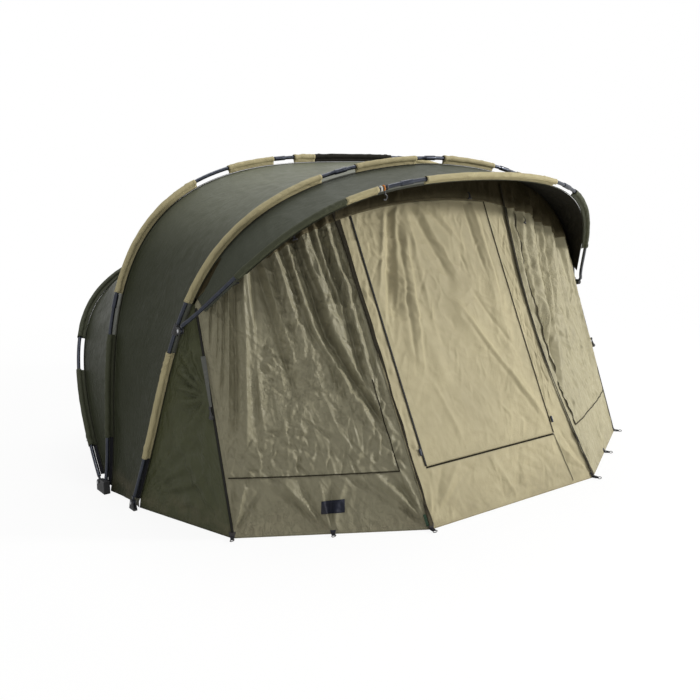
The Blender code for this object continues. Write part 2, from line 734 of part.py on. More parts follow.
class Panel:
    """A front panel ruled from a straight hem to a line under the front rib."""

    def __init__(self, hem, rib, rib_shares, folds, bow=0.0, bow_from=1.0):
        self.hem = [Vector((*corner, HEM_Z)) for corner in hem]
        self.rib = rib
        self.rib_shares = rib_shares
        self.folds = folds
        self.bow = bow
        self.bow_from = bow_from

    def line(self, across):
        """The straight run up the panel at a share across it."""
        foot = self.hem[0].lerp(self.hem[1], across)
        first, last = self.rib_shares
        top = self.rib.canopy(first + (last - first) * across)
        return foot, top - (top - foot).normalized() * FRONT_INSET

    def up(self, across, level):
        """The share up a run: level 0 is the hem, 1 the top of the skirt and 2 the panel's top."""
        foot, top = self.line(across)
        skirt = (SKIRT_Z - foot.z) / (top.z - foot.z)
        if level < 1.0:
            return skirt * level
        return skirt + (PANEL_TOP_SHARE - skirt) * (level - 1.0)

    def normal(self):
        left, right = self.line(0.0), self.line(1.0)
        out = (right[0] - left[0]).cross((left[1] + right[1] - left[0] - right[0]))
        return out.normalized()

    def fold(self, across, up):
        """How far the cloth stands out in its folds, fading to nothing at the edges."""
        depth = 0.0
        for x0, y0, x1, y1, width, share in self.folds:
            run_x, run_y = x1 - x0, y1 - y0
            along = ((across - x0) * run_x + (up - y0) * run_y) / (run_x ** 2 + run_y ** 2)
            along = min(max(along, 0.0), 1.0)
            off = math.hypot(across - x0 - run_x * along, up - y0 - run_y * along)
            depth += share * math.exp(-(off / width) ** 2)
        edge = min(across, 1.0 - across, up, 1.0 - up)
        return depth * FOLD_DEPTH * min(max(edge / FOLD_EDGE_SHARE, 0.0), 1.0)

    def base(self, across, up):
        foot, top = self.line(across)
        return foot.lerp(top, up)

    def point(self, across, up, lift=0.0, folded=True):
        height = self.fold(across, up) if folded else 0.0
        share = (across - self.bow_from) / (1.0 - self.bow_from) if self.bow_from < 1.0 else 1.0 - across
        bow = self.bow * math.sin(math.pi * min(up, 1.0)) * max(share, 0.0)
        return self.base(across, up) + self.normal() * (height + lift) - X_AXIS * bow


class DoorPanel(Panel):
    """The middle panel of the front: flat up to the door's top, then drawn to the rib."""

    def base(self, across, up):
        foot, top = self.line(across)
        slopes = []
        for edge in (0.0, 1.0):
            low, high = self.line(edge)
            slopes.append((high.y - low.y) / (high.z - low.z))
        slope = slopes[0] + (slopes[1] - slopes[0]) * across
        flat = Vector((top.x, foot.y + slope * (top.z - foot.z), top.z))
        return foot.lerp(flat, up) + (top - flat) * up ** 3

    def fold(self, across, up):
        """Folds also fade at the door's edges, so that its zips lie straight."""
        left, right = DOOR_SIDE_SHARES
        ends = [self.up(across, level) for level in (1.0, 1.0 + DOOR_TOP_SHARE)]
        edge = min(abs(across - left), abs(across - right), abs(up - ends[0]), abs(up - ends[1]))
        return super().fold(across, up) * min(edge / FOLD_EDGE_SHARE, 1.0)


def spread(low, high, count):
    return [low + (high - low) * step / count for step in range(count + 1)]


def panel_rows(panel, levels, acrosses, lift=0.0, trim=0.0):
    """The points of a panel, drawn in sideways by trim at its first and last columns."""
    rows = []
    for level in levels:
        row = [panel.point(across, panel.up(across, level), lift) for across in acrosses]
        way = (row[-1] - row[0]).normalized()
        row[0] = row[0] + way * trim
        row[-1] = row[-1] - way * trim
        rows.append(row)
    return rows


def build_front(front_rib, seam_share):
    """The wings and the two side panels with their window covers."""
    for side, word in SIDES:
        corner = (side * CORNER_X, CORNER_Y)
        foot = (side * (FRONT_FOOT_X - STANDOFF), FRONT_FOOT_Y)
        door_corner = (side * DOOR_HEM_HALF, -HALF_DEPTH)
        low, high = COVER_SIDE_SHARES
        if side == LEFT:
            panel = Panel((corner, door_corner), front_rib, (seam_share, RIDGE_SHARES[0]), SIDE_FOLD_SHARES)
        else:
            folds = [(1.0 - x0, y0, 1.0 - x1, y1, width, share)
                     for x0, y0, x1, y1, width, share in SIDE_FOLD_SHARES]
            panel = Panel((door_corner, corner), front_rib, (RIDGE_SHARES[1], 1.0 - seam_share), folds,
                          bow=RIGHT_RIDGE_BOW)
            low, high = 1.0 - high, 1.0 - low
        acrosses = spread(low, high, PANEL_COLUMNS)
        levels = spread(1.0, 1.0 + COVER_TOP_SHARE, PANEL_ROWS)
        rows = panel_rows(panel, [0.0, 0.5] + levels + [2.0], [0.0] + acrosses + [1.0], trim=PANEL_INSET)
        cloth(f"front_panel_{word}", rows, FRONT_LOOK)
        rows = panel_rows(panel, levels, acrosses, lift=CLOTH / 2 + COVER_CLOTH / 2 + GAP * 2)
        cloth(f"window_cover_{word}", rows, FRONT_LOOK, COVER_CLOTH)
        build_wing(side, word, front_rib, foot, seam_share, panel)
        build_cover_slider(side, word, panel)


def build_wing(side, word, front_rib, foot, seam_share, panel):
    """The three-cornered cloth from the front rib's leg to the first seam."""
    seam = panel.line(0.0 if side == LEFT else 1.0)
    count = BAY_COLUMNS - 1
    rows = []
    for up in spread(0.0, PANEL_TOP_SHARE, PANEL_ROWS):
        share = seam_share * up
        if side == RIGHT:
            share = 1.0 - share
        edge = front_rib.canopy(share)
        if up == 0.0:
            edge = Vector((*foot, HEM_Z))
        other = seam[0].lerp(seam[1], up)
        rows.append(inset_run(edge, other, count, SEAM_INSET, GAP, Vector()))
    cloth(f"wing_{word}", rows, SHADE_LOOK)


def build_door(front_rib):
    """The middle panel with its opening, the door that fills it and the sliders beside the door."""
    left, right = DOOR_SIDE_SHARES
    hem = ((-DOOR_HEM_HALF, -HALF_DEPTH), (DOOR_HEM_HALF, -HALF_DEPTH))
    panel = DoorPanel(hem, front_rib, RIDGE_SHARES, DOOR_FOLD_SHARES, bow=RIGHT_RIDGE_BOW, bow_from=right)
    levels = [0.0, 0.5] + spread(1.0, 1.0 + DOOR_TOP_SHARE, DOOR_ROWS) + [2.0]
    acrosses = [0.0] + spread(left, right, DOOR_COLUMNS) + [1.0]

    def in_door(i, j):
        return 2 <= i < 2 + DOOR_ROWS and 1 <= j < 1 + DOOR_COLUMNS

    rows = panel_rows(panel, levels, acrosses, trim=PANEL_INSET)
    cloth("door_surround", rows, FRONT_LOOK, skip=in_door)
    foot, top = panel.line(0.0)
    side_gap = GAP * 2 / (DOOR_HEM_HALF * 2)
    end_gap = GAP * 2 / (top.z - SKIRT_Z)
    levels = spread(1.0 + end_gap, 1.0 + DOOR_TOP_SHARE - end_gap, DOOR_ROWS)
    rows = panel_rows(panel, levels, spread(left + side_gap, right - side_gap, DOOR_COLUMNS))
    cloth("door_panel", rows, FRONT_LOOK)
    for word, across, shift in (("left", left, -DOOR_SLIDER_SIDE), ("right", right, DOOR_SLIDER_SIDE)):
        low, high = [panel.point(across, panel.up(across, level), folded=False)
                     for level in (1.0 + DOOR_SLIDER_SHARE, 1.0 + DOOR_TOP_SHARE)]
        way = (high - low).normalized()
        out = X_AXIS.cross(way).normalized()
        start = low + X_AXIS * shift + out * (CLOTH / 2 + SLIDER_R + GAP)
        profile = ((0.0, PULL_TAB_R), (SLIDER_LENGTH, SLIDER_R), (SLIDER_LENGTH * 2, SLIDER_R),
                   (SLIDER_LENGTH * 2 + OVERRUN, PULL_STEM_R))
        turned(f"door_slider_{word}", start, way, profile, PULL_SIDES, STEEL_LOOK)
        print("door slider", word, "runs along", tuple(way), "for", (high - low).length)
    ends = [panel.point(across, panel.up(across, 1.0), folded=False) for across in (left, right)]
    print("door hinge from", tuple(ends[0]), "to", tuple(ends[1]), "out", tuple(panel.normal()))


def build_cover_slider(side, word, panel):
    """The ball puller that runs on the zip beside a window cover."""
    foot, top = panel.line(0.0 if side == LEFT else 1.0)
    way = (foot - top).normalized()
    out = (panel.normal() + Vector((side, 0.0, 0.0))).normalized()
    start = foot.lerp(top, COVER_SLIDER_SHARE) + out * (CLOTH / 2 + PULL_BALL_R - GAP)
    ball_at = SLIDER_LENGTH + PULL_STEM + PULL_BALL_R
    profile = [(0.0, PULL_STEM_R), (0.0, SLIDER_R), (SLIDER_LENGTH, SLIDER_R), (SLIDER_LENGTH, PULL_STEM_R)]
    for step in range(1, ROUND_STEPS):
        angle = math.pi * step / ROUND_STEPS
        profile.append((ball_at - PULL_BALL_R * math.cos(angle), PULL_BALL_R * math.sin(angle)))
    turned(f"cover_slider_{word}", start, way, profile, PULL_SIDES, PLASTIC_LOOK)
    print("cover slider", word, "at", tuple(start), "runs along", tuple(-way))


def main():
    clear_scene()
    main_rib = Rib((MAIN_FOOT_X, MAIN_FOOT_Y, SOCKET_FLOOR), MAIN_TOP_Y, MAIN_TOP_Z, MAIN_BEND_SHARES)
    front_rib = Rib((FRONT_FOOT_X, FRONT_FOOT_Y, FOOT_PIVOT_Z), FRONT_TOP_Y, FRONT_TOP_Z,
                    FRONT_BEND_SHARES)
    rear_pivot = Vector((MAIN_FOOT_X, MAIN_FOOT_Y + REAR_PIVOT_SETBACK, HUB_PIVOT_Z))
    rear_rib = Rib(rear_pivot, REAR_TOP_Y, REAR_TOP_Z, REAR_BEND_SHARES)
    knuckle_share = front_rib.distance_at_height(KNUCKLE_Z) / front_rib.length
    knuckle = front_rib.frame((1.0 - knuckle_share) * front_rib.length).point
    peak_pivot = knuckle - Vector((0.0, KNUCKLE_REACH, 0.0))
    peak_rib = Rib(peak_pivot, PEAK_TOP_Y, PEAK_TOP_Z, PEAK_BEND_SHARES, neck=EYE_REACH + EYE_HALF)

    build_rib_poles("main_rib", main_rib, MAIN_JOINT_SHARES, eyes=False)
    build_rib_poles("front_rib", front_rib, FRONT_JOINT_SHARES, eyes=True)
    build_rib_poles("peak_rib", peak_rib, PEAK_JOINT_SHARES, eyes=True)
    build_rib_poles("rear_rib", rear_rib, REAR_JOINT_SHARES, eyes=True)
    for side, word in SIDES:
        mirror = Vector((side, 1.0, 1.0))
        build_hub(side, word, main_rib, rear_pivot * mirror)
        build_foot(word, Vector((side * FRONT_FOOT_X, FRONT_FOOT_Y, FOOT_PIVOT_Z)))
        build_knuckle(side, word, front_rib, peak_pivot * mirror)

    build_sleeves("main_rib", main_rib, MAIN_SLEEVE_SHARES, SEVEN, SLEEVE_LOOK)
    build_sleeves("front_rib", front_rib, front_sleeve_runs(knuckle_share), SIX, SLEEVE_LOOK)
    build_sleeves("peak_rib", peak_rib, PEAK_SLEEVE_SHARES, THREE, SLEEVE_LOOK)
    build_sleeves("rear_rib", rear_rib, REAR_SLEEVE_SHARES, TWO, ROOF_LOOK)

    build_bay("middle_bay", main_rib, front_rib, 0.0, ROOF_LOOK, to_ground=True)
    build_bay("rear_bay", rear_rib, main_rib, REAR_BAY_START_SHARE, ROOF_LOOK, to_ground=False)
    build_visor(front_rib, peak_rib)
    build_rear_wall(rear_rib)
    build_front(front_rib, knuckle_share + SEAM_CLEAR_SHARE)
    build_door(front_rib)
    for pivot, word in ((rear_pivot, "rear rib"), (peak_pivot, "peak rib"),
                        (Vector((FRONT_FOOT_X, FRONT_FOOT_Y, FOOT_PIVOT_Z)), "front rib")):
        print("pivot of the", word, tuple(pivot))


main()
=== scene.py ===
import bisect
import itertools
import math
import random

import bmesh
import bpy
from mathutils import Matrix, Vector, noise


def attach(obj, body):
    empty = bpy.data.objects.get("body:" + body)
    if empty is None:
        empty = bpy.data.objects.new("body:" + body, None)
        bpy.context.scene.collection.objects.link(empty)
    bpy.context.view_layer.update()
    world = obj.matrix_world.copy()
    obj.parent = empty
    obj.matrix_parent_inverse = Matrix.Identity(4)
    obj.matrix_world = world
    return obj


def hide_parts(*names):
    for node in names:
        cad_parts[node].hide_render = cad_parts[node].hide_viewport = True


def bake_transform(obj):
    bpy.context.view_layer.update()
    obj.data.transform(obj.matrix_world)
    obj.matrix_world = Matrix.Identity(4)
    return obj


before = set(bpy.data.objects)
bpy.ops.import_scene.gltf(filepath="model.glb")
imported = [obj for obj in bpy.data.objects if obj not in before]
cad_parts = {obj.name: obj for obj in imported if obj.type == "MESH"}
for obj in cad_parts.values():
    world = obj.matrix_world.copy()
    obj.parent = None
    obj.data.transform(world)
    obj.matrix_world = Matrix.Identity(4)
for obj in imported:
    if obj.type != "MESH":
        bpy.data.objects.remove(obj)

# The bivvy tent's looks. Metres, +Z up, the front faces -Y, the origin is on the ground.
# The sizes and the fold tables' shares are the part's own.
GAP = 0.0003
CLOTH = 0.0020
HEM_Z = 0.0022
STANDOFF = 0.0300
SEAM_INSET = 0.0012
FRONT_INSET = 0.0042

HALF_DEPTH = 1.380
DOOR_HEM_HALF = 0.543
CORNER = (1.278, -0.947)
MAIN_FOOT = (1.500, -0.107, 0.017)
FRONT_FOOT = (1.478, -0.388, 0.034)
PEAK_FOOT = (1.31026, -0.59927, 0.844)
REAR_FOOT = (1.500, -0.061, 0.042)
MAIN_TOP = (-0.008, 1.581)
FRONT_TOP = (-0.717, 1.572)
PEAK_TOP = (-1.100, 1.497)
REAR_TOP = (1.020, 1.120)
MAIN_BEND = (0.920, 0.299, 1.079, 1.000, 0.488)
FRONT_BEND = (0.858, 0.555, 0.983, 0.899, 0.350)
PEAK_BEND = (0.945, 0.060, 0.771, 0.653, 0.702)
REAR_BEND = (0.948, 0.961, 0.602, 0.700, 0.600)
NECK = 0.036
KNUCKLE_Z = 0.844
REAR_PEG_ANGLES = (0.0, 32.0, 60.0, 84.0)

SHOWN_CLOTH = 0.0012
TUBE_ROUNDING = 6
SLEEVE_R = 0.0128
POLE_R = 0.0090
POLE_FOOT = 0.030
FERRULE_R = 0.0116
FERRULE_HALF = 0.0320
RIB_SEGMENTS = 37
MAIN_SLEEVES = ((0.049, 0.145), (0.184, 0.319), (0.358, 0.411), (0.436, 0.564),
                (0.589, 0.642), (0.681, 0.816), (0.855, 0.951))
PEAK_SLEEVES = ((0.105, 0.322), (0.395, 0.655), (0.718, 0.895))
REAR_SLEEVES = ((0.041, 0.480), (0.520, 0.959))
REAR_SLOT = (0.133, 0.175)
CROWN_DARK = 0.462
PEAK_COLLAR = 0.276
FRONT_WORDS = ("left_lower", "left_upper", "left_crown", "right_crown", "right_upper", "right_lower")
MAIN_WORDS = (*FRONT_WORDS[:3], "crown", *FRONT_WORDS[3:])

SKIRT_Z = 0.240
RIDGES = (0.374, 0.600)
RIGHT_BOW = 0.090
PANEL_TOP = 0.985
DOOR_SIDES = (0.068, 0.835)
DOOR_TOP = 0.890
COVER_SIDES = (0.030, 0.925)
COVER_TOP = 0.930
# Folds of the panels: (across, up) to (across, up), width, depth as a share of FOLD_DEPTH
SIDE_FOLDS = (
    (0.70, 0.92, 0.76, 0.58, 0.035, -0.70),
    (0.76, 0.58, 0.90, 0.33, 0.035, -0.60),
    (0.80, 0.94, 0.83, 0.50, 0.035, 0.75),
    (0.88, 0.80, 0.89, 0.46, 0.030, -0.55),
    (0.58, 0.92, 0.64, 0.45, 0.045, 0.60),
    (0.46, 0.90, 0.50, 0.46, 0.040, -0.35),
    (0.39, 0.90, 0.18, 0.36, 0.045, 0.55),
    (0.27, 0.86, 0.09, 0.34, 0.035, -0.50),
    (0.22, 0.88, 0.09, 0.70, 0.030, -0.40),
    (0.47, 0.02, 0.33, 0.16, 0.040, 0.30),
    (0.97, 0.03, 0.74, 0.15, 0.040, 0.30),
)
DOOR_FOLDS = (
    (0.29, 0.88, 0.16, 0.60, 0.030, -0.70),
    (0.28, 0.76, 0.19, 0.46, 0.030, 0.55),
    (0.38, 0.88, 0.49, 0.66, 0.035, -0.30),
    (0.43, 0.88, 0.56, 0.78, 0.035, 0.30),
    (0.50, 0.55, 0.80, 0.22, 0.040, 0.50),
    (0.22, 0.80, 0.30, 0.40, 0.040, 0.35),
    (0.76, 0.86, 0.72, 0.40, 0.040, 0.40),
    (0.05, 0.03, 0.20, 0.14, 0.040, 0.30),
    (0.95, 0.03, 0.75, 0.14, 0.040, 0.30),
)
FOLD_DEPTH = 0.026
FOLD_EDGE = 0.060

# Finer folds that only the looks have, with their height in metres out
SIDE_CREASES = (
    (0.713, 0.94, 0.750, 0.58, 0.016, -0.016), (0.750, 0.58, 0.906, 0.31, 0.016, -0.014),
    (0.760, 0.95, 0.800, 0.58, 0.016, 0.013), (0.800, 0.58, 0.945, 0.30, 0.016, 0.012),
    (0.660, 0.94, 0.700, 0.58, 0.018, 0.013), (0.700, 0.58, 0.860, 0.30, 0.018, 0.012),
    (0.735, 0.93, 0.778, 0.68, 0.010, -0.010), (0.690, 0.93, 0.722, 0.72, 0.009, 0.007),
    (0.620, 0.94, 0.668, 0.62, 0.014, -0.011), (0.668, 0.62, 0.780, 0.36, 0.015, -0.009),
    (0.580, 0.94, 0.615, 0.64, 0.013, 0.010), (0.540, 0.93, 0.575, 0.60, 0.012, -0.009),
    (0.500, 0.93, 0.540, 0.56, 0.014, 0.008), (0.463, 0.90, 0.500, 0.46, 0.020, -0.011),
    (0.420, 0.92, 0.300, 0.45, 0.020, 0.012), (0.394, 0.90, 0.175, 0.36, 0.018, 0.012),
    (0.450, 0.90, 0.260, 0.40, 0.014, -0.008), (0.330, 0.91, 0.120, 0.42, 0.014, -0.010),
    (0.285, 0.91, 0.100, 0.50, 0.012, 0.009), (0.240, 0.91, 0.075, 0.55, 0.012, -0.009),
    (0.200, 0.92, 0.070, 0.68, 0.010, 0.008), (0.150, 0.92, 0.060, 0.76, 0.009, -0.007),
    (0.888, 0.93, 0.892, 0.40, 0.014, -0.013), (0.850, 0.94, 0.880, 0.55, 0.012, 0.011),
    (0.930, 0.94, 0.930, 0.45, 0.012, 0.011), (0.960, 0.92, 0.965, 0.35, 0.010, -0.009),
    (0.820, 0.94, 0.850, 0.64, 0.010, -0.009),
)
SKIRT_CREASES = (
    (0.470, 0.01, 0.270, 0.17, 0.016, -0.007), (0.470, 0.01, 0.330, 0.17, 0.014, 0.006),
    (0.472, 0.01, 0.400, 0.17, 0.012, -0.006), (0.490, 0.01, 0.500, 0.17, 0.010, 0.005),
    (0.494, 0.01, 0.569, 0.16, 0.012, -0.006), (0.498, 0.01, 0.630, 0.16, 0.014, 0.005),
    (0.981, 0.02, 0.800, 0.16, 0.014, 0.007), (0.981, 0.02, 0.730, 0.16, 0.012, -0.005),
    (0.981, 0.02, 0.656, 0.16, 0.014, -0.006), (0.985, 0.02, 0.880, 0.16, 0.012, -0.006),
    (0.987, 0.02, 0.930, 0.17, 0.010, 0.005), (0.013, 0.03, 0.113, 0.20, 0.012, 0.006),
    (0.013, 0.03, 0.180, 0.16, 0.012, -0.005), (0.010, 0.03, 0.060, 0.22, 0.010, -0.004),
)
DOOR_CREASES = (
    (0.300, 0.92, 0.126, 0.60, 0.013, -0.013), (0.330, 0.92, 0.165, 0.58, 0.012, 0.009),
    (0.290, 0.80, 0.180, 0.45, 0.013, -0.013), (0.320, 0.80, 0.215, 0.44, 0.012, 0.008),
    (0.250, 0.88, 0.100, 0.66, 0.010, 0.007), (0.377, 0.90, 0.508, 0.66, 0.014, -0.007),
    (0.410, 0.90, 0.540, 0.68, 0.014, 0.006), (0.433, 0.91, 0.572, 0.78, 0.012, -0.006),
    (0.480, 0.92, 0.640, 0.72, 0.014, 0.005), (0.360, 0.90, 0.330, 0.50, 0.018, 0.006),
    (0.500, 0.56, 0.800, 0.22, 0.012, 0.007), (0.520, 0.52, 0.790, 0.20, 0.012, -0.005),
    (0.620, 0.60, 0.760, 0.42, 0.010, -0.005), (0.240, 0.36, 0.300, 0.20, 0.016, 0.004),
    (0.700, 0.90, 0.720, 0.66, 0.010, -0.007), (0.745, 0.90, 0.760, 0.62, 0.010, 0.006),
    (0.780, 0.88, 0.775, 0.60, 0.008, -0.005),
)
DOOR_SKIRT_CREASES = (
    (0.015, 0.02, 0.090, 0.16, 0.012, 0.006), (0.015, 0.02, 0.160, 0.16, 0.012, -0.005),
    (0.020, 0.02, 0.240, 0.15, 0.012, 0.005), (0.020, 0.02, 0.330, 0.14, 0.012, -0.004),
    (0.985, 0.02, 0.900, 0.16, 0.012, -0.005), (0.985, 0.02, 0.820, 0.15, 0.012, 0.005),
    (0.980, 0.02, 0.700, 0.14, 0.014, -0.004), (0.500, 0.02, 0.420, 0.15, 0.016, 0.004),
    (0.520, 0.02, 0.600, 0.15, 0.016, -0.004),
)

LEFT = -1
RIGHT = 1
X_AXIS = Vector((1.0, 0.0, 0.0))
UP = Vector((0.0, 0.0, 1.0))
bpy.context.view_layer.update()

CAMERA_PLACE = (-3.00799, -4.09057, 1.57354)
CAMERA_YAW = 36.7765
CAMERA_PITCH = 12.0446
CAMERA_LENS = 46.366


def build_camera():
    """The photograph's viewing place, found from the tent's ground corners, ribs and seams."""
    yaw, pitch = math.radians(CAMERA_YAW), math.radians(CAMERA_PITCH)
    forward = Vector((math.sin(yaw) * math.cos(pitch), math.cos(yaw) * math.cos(pitch), -math.sin(pitch)))
    data = bpy.data.cameras.new("camera")
    data.sensor_width = 36.0
    data.lens = CAMERA_LENS
    data.clip_start = 0.05
    data.clip_end = 100.0
    camera = placed("camera", data)
    camera.location = CAMERA_PLACE
    camera.rotation_euler = forward.to_track_quat("-Z", "Y").to_euler()
    bpy.context.scene.camera = camera


# Materials


ZIP_WIDTH = 0.011
TAPE_SHINE = 0.12
PLASTIC_ROUGHNESS = 0.5


class Value:
    """A node's output that takes part in plain arithmetic."""

    def __init__(self, paint, socket):
        self.paint = paint
        self.socket = socket

    def maths(self, operation, *others):
        values = {place + 1: other for place, other in enumerate(others)}
        return self.paint.node("ShaderNodeMath", {"operation": operation}, {0: self, **values})

    def __add__(self, other):
        return self.maths("ADD", other)

    __radd__ = __add__

    def __mul__(self, other):
        return self.maths("MULTIPLY", other)

    __rmul__ = __mul__

    def __sub__(self, other):
        return self.maths("SUBTRACT", other)

    def ramp(self, low, high, start=0.0, end=1.0):
        """Runs smoothly from start at low to end at high."""
        settings = {"interpolation_type": "SMOOTHSTEP"}
        return self.paint.node("ShaderNodeMapRange", settings, {0: self, 1: low, 2: high, 3: start, 4: end})

    def fall(self, low, high):
        return self.ramp(low, high, 1.0, 0.0)

    def lines(self, width):
        """Lines where the value crosses its middle."""
        return (self * 2.0 - 1.0).maths("ABSOLUTE").fall(0.0, width)


class Paint:
    """One material and the nodes that make it."""

    def __init__(self, name, colour, roughness, metallic=0.0):
        self.made = bpy.data.materials.new(name)
        self.made.use_nodes = True
        self.tree = self.made.node_tree
        self.shader = self.tree.nodes["Principled BSDF"]
        self.set("Base Color", (*colour, 1.0))
        self.set("Roughness", roughness)
        self.set("Metallic", metallic)
        self.made.diffuse_color = (*colour, 1.0)

    def node(self, kind, settings=None, sockets=None, out=0):
        """Adds a node. Its settings come first, then the values or links of its sockets."""
        made = self.tree.nodes.new(kind)
        for key, value in (settings or {}).items():
            setattr(made, key, value)
        for key, value in (sockets or {}).items():
            self.join(made.inputs[key], value)
        return Value(self, made.outputs[out])

    def join(self, socket, value):
        if isinstance(value, Value):
            self.tree.links.new(value.socket, socket)
        else:
            socket.default_value = value

    def set(self, socket, value):
        self.join(self.shader.inputs[socket], value)

    def finished(self, shade, roughness, normal):
        for socket, value in (("Base Color", shade), ("Roughness", roughness), ("Normal", normal)):
            self.set(socket, value)
        return self.made

    def place(self):
        return self.node("ShaderNodeTexCoord", out="Object")

    def cloth_place(self):
        """Across and up the piece's own cloth, in metres."""
        return self.node("ShaderNodeUVMap", {"uv_map": "cloth"})

    def own(self, name):
        return self.node("ShaderNodeAttribute", {"attribute_name": name}, out="Fac")

    def noise(self, where, scale, detail=2.0, roughness=0.5, distortion=0.0):
        sockets = {"Vector": where, "Scale": scale, "Detail": detail, "Roughness": roughness,
                   "Distortion": distortion}
        return self.node("ShaderNodeTexNoise", None, sockets)

    def wave(self, where, scale, direction):
        settings = {"bands_direction": direction}
        return self.node("ShaderNodeTexWave", settings, {"Vector": where, "Scale": scale})

    def part(self, where, index):
        return self.node("ShaderNodeSeparateXYZ", None, {0: where}, out=index)

    def stretched(self, where, scale):
        return self.node("ShaderNodeMapping", None, {"Vector": where, "Scale": scale})

    def streaks(self, where, turn, wide, long):
        """Long soft ridges that lie at a turn from the cloth's own length."""
        settings = {"vector_type": "TEXTURE"}
        sockets = {"Vector": where, "Rotation": (0.0, 0.0, turn), "Scale": (wide, long, 1.0)}
        return self.noise(self.node("ShaderNodeMapping", settings, sockets), 1.0, 1.0, 0.5, 0.3).lines(0.30)

    def mix(self, share, first, second):
        first = first if isinstance(first, Value) else (*first, 1.0)
        second = second if isinstance(second, Value) else (*second, 1.0)
        return self.node("ShaderNodeMix", {"data_type": "RGBA"}, {0: share, 6: first, 7: second}, out=2)

    def bump(self, height, distance, strength=1.0, under=None):
        sockets = {"Strength": strength, "Distance": distance, "Height": height}
        if under:
            sockets["Normal"] = under
        return self.node("ShaderNodeBump", None, sockets)


def tone(colour, share):
    """A colour made darker or paler."""
    return tuple(min(part * share, 1.0) for part in colour)


def cloth_paint(name, colour, roughness=0.60, crinkle=0.8, shine=TAPE_SHINE, painted_shade_colour=None, run=None):
    """Coated woven cloth: threads, a stitched edge, creases, faint dirt low down and rubbed edges.
    The colour given for low down is painted light and shade: the cloth takes it on down its sides, below a
    paler top, or over run, metres up its own length."""
    paint = Paint(name, colour, roughness)
    paint.set("Specular IOR Level", shine)
    where, lying = paint.place(), paint.cloth_place()
    broad = paint.noise(where, 2.3, 3.0, 0.55)
    fine = paint.noise(where, 24.0, 4.0, 0.6)
    shade = paint.mix(broad.ramp(0.30, 0.72), tone(colour, 0.90), tone(colour, 1.08))
    shade = paint.mix(fine.ramp(0.35, 0.75) * 0.35, shade, tone(colour, 0.80))
    edge = paint.own("edge")
    height, along, aside = paint.part(where, 2), paint.part(lying, 1), paint.part(lying, 0)
    # Painted light and shade: a change of colour over run along the cloth, or by height so that the top reads
    # paler than the sides
    if run:
        ragged = along + fine * 0.030 - 0.015
        shade = paint.mix(ragged.ramp(*run), shade, painted_shade_colour)
    elif painted_shade_colour:
        shade = paint.mix(height.fall(1.08, 1.50), shade, painted_shade_colour)
    dirt = height.fall(0.02, 0.16) * paint.noise(where, 9.0, 5.0, 0.65).ramp(0.38, 0.70)
    shade = paint.mix(dirt * 0.35, shade, (0.155, 0.130, 0.085))
    hem = edge.fall(0.0125, 0.0140)
    shade = paint.mix(hem * 0.16, shade, tone(colour, 0.55))
    seam = edge.ramp(0.0072, 0.0084) * edge.fall(0.0092, 0.0104)
    stitch = seam * ((along + aside) * 900.0).maths("SINE").ramp(-0.2, 0.2)
    shade = paint.mix(stitch * 0.6, shade, tone(colour, 1.5))
    worn = edge.fall(0.0005, 0.0040) * fine.ramp(0.45, 0.65)
    shade = paint.mix(worn * 0.45, shade, tone(colour, 1.7))
    rough = fine.ramp(0.25, 0.80, roughness - 0.06, roughness + 0.08) + dirt * 0.10
    threads = paint.wave(lying, 230.0, "X") * 0.5 + paint.wave(lying, 230.0, "Y") * 0.5
    creases = paint.noise(paint.stretched(where, (1.0, 1.0, 0.6)), 11.0, 5.0, 0.62, 0.8)
    ridges = paint.streaks(lying, 0.55, 0.070, 0.42) * broad.ramp(0.62, 0.42)
    ridges += paint.streaks(lying, -0.45, 0.060, 0.36) * broad.ramp(0.38, 0.58)
    ridges += paint.streaks(lying, 0.06, 0.050, 0.45) * 0.6
    sharp = paint.noise(paint.stretched(where, (1.0, 1.0, 0.8)), 27.0, 2.0, 0.5, 1.6)
    folds = sharp.lines(0.12) * broad.ramp(0.40, 0.62)
    normal = None
    for raised, rise, strength in ((ridges, 0.0026 * crinkle, 0.6), (creases, 0.0050 * crinkle, 0.5),
                                   (folds, 0.0022 * crinkle, 0.6), (hem, 0.0008, 0.8), (stitch, 0.0006, 0.8),
                                   (threads, 0.0002, 0.35)):
        normal = paint.bump(raised, rise, strength, normal)
    return paint.finished(shade, rough, normal)


def metal_paint(name, colour, roughness, metallic=0.85):
    """Coated or bare tube: drawn streaks, a slightly mottled coat and rubbed spots."""
    paint = Paint(name, colour, roughness, metallic)
    where = paint.place()
    mottle = paint.noise(where, 60.0, 4.0, 0.6)
    streak = paint.noise(paint.stretched(where, (40.0, 40.0, 900.0)), 1.0, 2.0)
    rubbed = paint.noise(where, 13.0, 6.0, 0.7).ramp(0.62, 0.74)
    shade = paint.mix(mottle.ramp(0.3, 0.7), tone(colour, 0.82), tone(colour, 1.2))
    shade = paint.mix(rubbed * 0.5, shade, tone(colour, 2.4))
    paint.set("Coat Weight", rubbed.ramp(0.0, 1.0, 0.25, 0.05))
    rough = mottle.ramp(0.3, 0.7, roughness - 0.06, roughness + 0.10)
    return paint.finished(shade, rough, paint.bump(streak, 0.0002, 0.25))


def plastic_paint(name, colour):
    """Moulded plastic: a fine spark texture, scuffs and a little dust."""
    paint = Paint(name, colour, PLASTIC_ROUGHNESS)
    where = paint.place()
    grain = paint.noise(where, 900.0, 2.0)
    scuff = paint.noise(paint.stretched(where, (1.0, 3.0, 1.0)), 45.0, 6.0, 0.7).ramp(0.58, 0.72)
    shade = paint.mix(scuff * 0.4, colour, tone(colour, 2.6))
    rough = scuff.ramp(0.0, 1.0, PLASTIC_ROUGHNESS, PLASTIC_ROUGHNESS + 0.2)
    return paint.finished(shade, rough, paint.bump(grain, 0.0002, 0.4))


